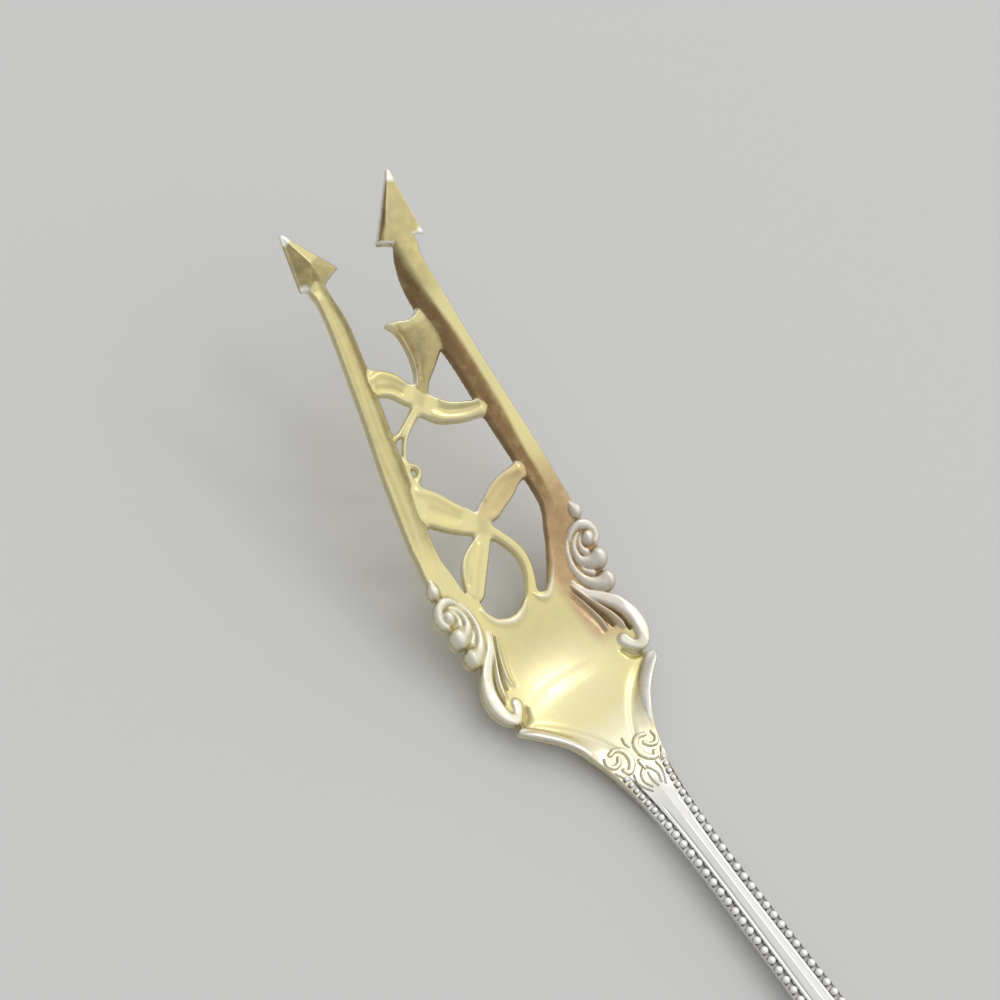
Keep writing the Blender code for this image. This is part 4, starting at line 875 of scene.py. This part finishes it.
def handlePiece(name, node, start, stop, gap, panelCols):
    # a grid of stations by points round the section, closed at both ends
    x = np.arange(start, stop + gap * 0.5, gap)
    x[-1] = stop
    if start == handle["end"]:
        turn = np.linspace(0.02, np.pi / 2, 40)
        x = np.concatenate([start + handle["round"] * (1 - np.cos(turn)), x[x > start + handle["round"]]])
    w = outlineWidth(x)[:, None]
    inner = np.maximum(w - handle["strip"] - handle["ledge"], 0.15 * w)
    strip = np.minimum(handle["strip"], 0.2 * w)
    half = np.concatenate([inner * np.linspace(0, 1, panelCols),
                           inner + (w - strip - inner) * np.linspace(0, 1, 22)[1:],
                           w - strip * np.linspace(1, 0, 8)[1:]], 1)
    across = np.concatenate([-half[:, :0:-1], half], 1)
    stations = np.broadcast_to(x[:, None], across.shape)
    zTop, relief = handleSurface(stations, across)
    zTop = zTop - edgeDrop(w - np.abs(across), handle["edge"])
    if stop > 0:
        # the neck's top runs into the head's
        blend = rise(stations, -3.0, 3.6)
        zTop = zTop * (1 - blend) + headSurface(stations, across * 0.999)[1] * blend
    zTop = zTop + relief
    # the underside is flat along the handle and follows the face ahead of it
    lift = rise(stations, -9.0, 10.3)
    under = lift * (face(stations, across) - handle["thickness"])
    zSide = np.maximum(ramp(x)[:, None] - handle["side"], under[:, :1])
    lift = lift[:, :1]
    foot = np.maximum(w - handle["chamfer"], 0.3 * w) * (1 - lift) + w * handle["footShare"] * lift
    low = foot * np.linspace(1, -1, 25)
    lowZ = lift * (face(np.broadcast_to(x[:, None], low.shape), low) - handle["thickness"])
    yLoop = np.concatenate([across, w, low, -w], 1)
    zLoop = np.concatenate([zTop, zSide, lowZ, zSide], 1)
    xLoop = np.broadcast_to(x[:, None], yLoop.shape)
    body = toFrame(xLoop, yLoop, zLoop).reshape(-1, 3)
    rows, cols = yLoop.shape
    number = np.arange(rows * cols).reshape(rows, cols)
    onward = np.roll(number, -1, 1)
    quads = np.stack([number[:-1], number[1:], onward[1:], onward[:-1]], -1).reshape(-1, 4)
    normals = vertexNormals(body, quads)
    # each end is a fan about a point inside the section
    lowMid = lowZ[:, low.shape[1] // 2]
    heart = lowMid + handle["heart"] * (zTop[:, across.shape[1] // 2] - lowMid)
    caps = toFrame(x, 0 * x, heart)[[0, -1]]
    firstCap = np.stack([number[0, ::2], onward[0, ::2], np.roll(onward[0], -1)[::2],
                         np.full(cols // 2, rows * cols)], -1)
    lastCap = np.stack([np.roll(onward[-1], -1)[::2], onward[-1, ::2], number[-1, ::2],
                        np.full(cols // 2, rows * cols + 1)], -1)
    quads = np.concatenate([quads, firstCap, lastCap])
    normals = np.concatenate([normals, [[-1.0, 0, 0], [1.0, 0, 0]]])
    flatZ = zTop - ramp(stations)
    padded = np.pad(flatZ, 6, mode="edge")  # more than the rounds of blur
    hollowZ = blur(padded, np.ones(padded.shape, bool), 4)[6:-6, 6:-6] - flatZ
    # painted shade darkens the sunk bead ledge between the beads, more so away from the neck; the hollows get
    # soil
    paintedLedgeShade = 0.34 + 0.28 * fall(stations, -8.0, 6.0)
    soilAndShadeTop = most(paintedLedgeShade * rise(-flatZ, 0.12, 0.2), rise(hollowZ, 0.02, 0.1))
    wearTop = rise(-hollowZ, 0.01, 0.08)
    rest = ((0, 0), (0, cols - across.shape[1]))
    soilAndShade, wearAndSheen = (np.append(np.pad(mark, rest), [0, 0]) for mark in (soilAndShadeTop, wearTop))
    tint = np.append(0.62 * rise(xLoop, -7.0, 6.4), [0, 0])
    return makePiece(name, np.concatenate([body, caps]), quads, normals,
                     {"soilAndShade": soilAndShade, "wearAndSheen": wearAndSheen, "blush": tint, "brownAndShade": tint * 0}, silver, node)


handlePiece("terminal_form", "handle_terminal", handle["end"], handle["shaftEnd"], gap=0.25, panelCols=16)
handlePiece("shaft_form", "handle_shaft", handle["shaftEnd"], handle["neckEnd"], gap=0.2, panelCols=16)
neckForm = handlePiece("neck_form", "neck", handle["neckEnd"], headStart, gap=0.06, panelCols=70)
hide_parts("left_neck_scroll", "right_neck_scroll", "neck_bead")
print("handle made")


# bead rows

beads = {"first": -2.6, "last": -84.0, "radius": 0.46, "small": 0.28, "growth": 8.5, "pitch": 1.2,
         "inset": 0.58, "seat": 0.56, "flat": 0.62, "turns": 12, "rings": 7, "pole": 0.12, "soilAndShade": 0.85}


def beadRow(name, node, sign):
    # flattened balls of a latitude and longitude grid, one centre per bead, spacing in step with their size
    reach = beads["first"] - np.linspace(0, 1, 400) * (beads["first"] - beads["last"])
    size = beads["small"] + (beads["radius"] - beads["small"]) * fall(reach, beads["first"], beads["growth"])
    gap = beads["pitch"] * size / beads["radius"]
    number = np.concatenate([[0], np.cumsum(-np.diff(reach) / gap[1:])])
    centreX = np.interp(np.arange(int(number[-1]) + 1), number, reach)
    radius = np.interp(np.arange(len(centreX)), number, size)
    centreY = sign * (outlineWidth(centreX) - beads["inset"])
    centreZ = ramp(centreX) - ledgeDepth(centreX) + radius * beads["seat"]
    turns, rings = beads["turns"], beads["rings"]
    around = np.linspace(0, 2 * np.pi, turns, endpoint=False)
    up = np.linspace(-np.pi / 2 + beads["pole"], np.pi / 2 - beads["pole"], rings)
    ball = np.stack([np.cos(up)[:, None] * np.cos(around), np.cos(up)[:, None] * np.sin(around),
                     np.sin(up)[:, None] * np.ones(turns)], -1).reshape(-1, 3)
    ball = np.concatenate([ball, [[0, 0, -1.0], [0, 0, 1.0]]])
    index = np.arange(turns * rings).reshape(rings, turns)
    onward = np.roll(index, -1, 1)
    quads = np.stack([index[:-1], onward[:-1], onward[1:], index[1:]], -1).reshape(-1, 4)
    far = np.roll(onward, -1, 1)
    south = np.stack([far[0], onward[0], index[0], np.full(turns, turns * rings)], -1)[::2]
    north = np.stack([index[-1], onward[-1], far[-1], np.full(turns, turns * rings + 1)], -1)[::2]
    quads = np.concatenate([quads, south, north])
    centres = np.stack([centreX, centreY, centreZ], -1)
    facing = ball * np.array([1, 1, 1 / beads["flat"]])
    facing = facing / np.linalg.norm(facing, axis=1, keepdims=True)
    button = ball * np.array([1, 1, beads["flat"]])
    allPoints = (centres[:, None] + radius[:, None, None] * button).reshape(-1, 3)
    allQuads = (np.arange(len(centres))[:, None, None] * len(ball) + quads).reshape(-1, 4)
    body = toFrame(allPoints[:, 0], allPoints[:, 1], allPoints[:, 2])
    # painted shade on each bead's lower part and a painted highlight on its top
    low = np.tile(beads["soilAndShade"] * fall(ball[:, 2], 0.3, 0.6), len(centres))
    high = np.tile(rise(ball[:, 2], 0.05, 0.45), len(centres))
    makePiece(name, body, allQuads, np.tile(facing, (len(centres), 1)),
              {"soilAndShade": low, "wearAndSheen": high, "blush": high * 0, "brownAndShade": high * 0}, silver, node)


beadRow("left_beads", "left_bead_row", 1)
beadRow("right_beads", "right_bead_row", -1)
print("beads made")


# floor, light and camera

floorMesh = bpy.data.meshes.new("floor")
reach = 3.0
floorMesh.from_pydata([(-reach, -reach, 0), (reach, -reach, 0), (reach, reach, 0), (-reach, reach, 0)], [],
                      [(0, 1, 2, 3)])
paleFloor, tree, shader = newMaterial("paleFloor")
fill(tree, shader, {"Base Color": (0.78, 0.78, 0.77), "Roughness": 0.9})
floorMesh.materials.append(paleFloor)
floor = addObject("floor", floorMesh)

# a soft room, brightest above and to the right
room = {"brightSide": (0.0, -0.7, 0.71), "dim": (0.48, 0.48, 0.49), "bright": (0.98, 0.98, 0.97)}
world = bpy.data.worlds.new("studio")
bpy.context.scene.world = world
world.use_nodes = True
tree = world.node_tree
coords = addNode(tree, "TexCoord", {}).outputs["Generated"]
sky = addNode(tree, "VectorMath", {0: coords, 1: room["brightSide"]}, operation="DOT_PRODUCT")
bright = addRange(tree, sky.outputs["Value"], low=0.25, high=0.92)
fill(tree, tree.nodes["Background"], {"Color": addMix(tree, bright, room["dim"], room["bright"])})

# a round lamp, turned to face its target
lamp = bpy.data.lights.new("key", "AREA")
lamp.shape, lamp.size, lamp.energy = "DISK", 0.1, 0.13
place, target = Vector((0.07, -0.36, 0.47)), Vector((0.03, 0.0, 0.01))
turned = (target - place).to_track_quat("-Z", "Y").to_matrix().to_4x4()
addObject("key", lamp).matrix_world = Matrix.Translation(place) @ turned

shot = {"place": (-0.04627, 0.20707, 0.33993), "right": (-0.5939828, -0.742724, 0.3091042),
        "up": (0.7735927, -0.4218919, 0.4728229), "back": (-0.2207683, 0.5199695, 0.8251625),
        "sensor": 36.0, "lens": 144.0}
camera = bpy.data.cameras.new("camera")
camera.sensor_width = shot["sensor"]
camera.lens = shot["lens"]
camera.clip_start = 0.01
eye = addObject("camera", camera)
place = Matrix((shot["right"], shot["up"], shot["back"])).transposed().to_4x4()
place.translation = Vector(shot["place"])
eye.matrix_world = place
bpy.context.scene.camera = eye
bpy.context.scene.view_settings.view_transform = "Standard"

print("stage set")
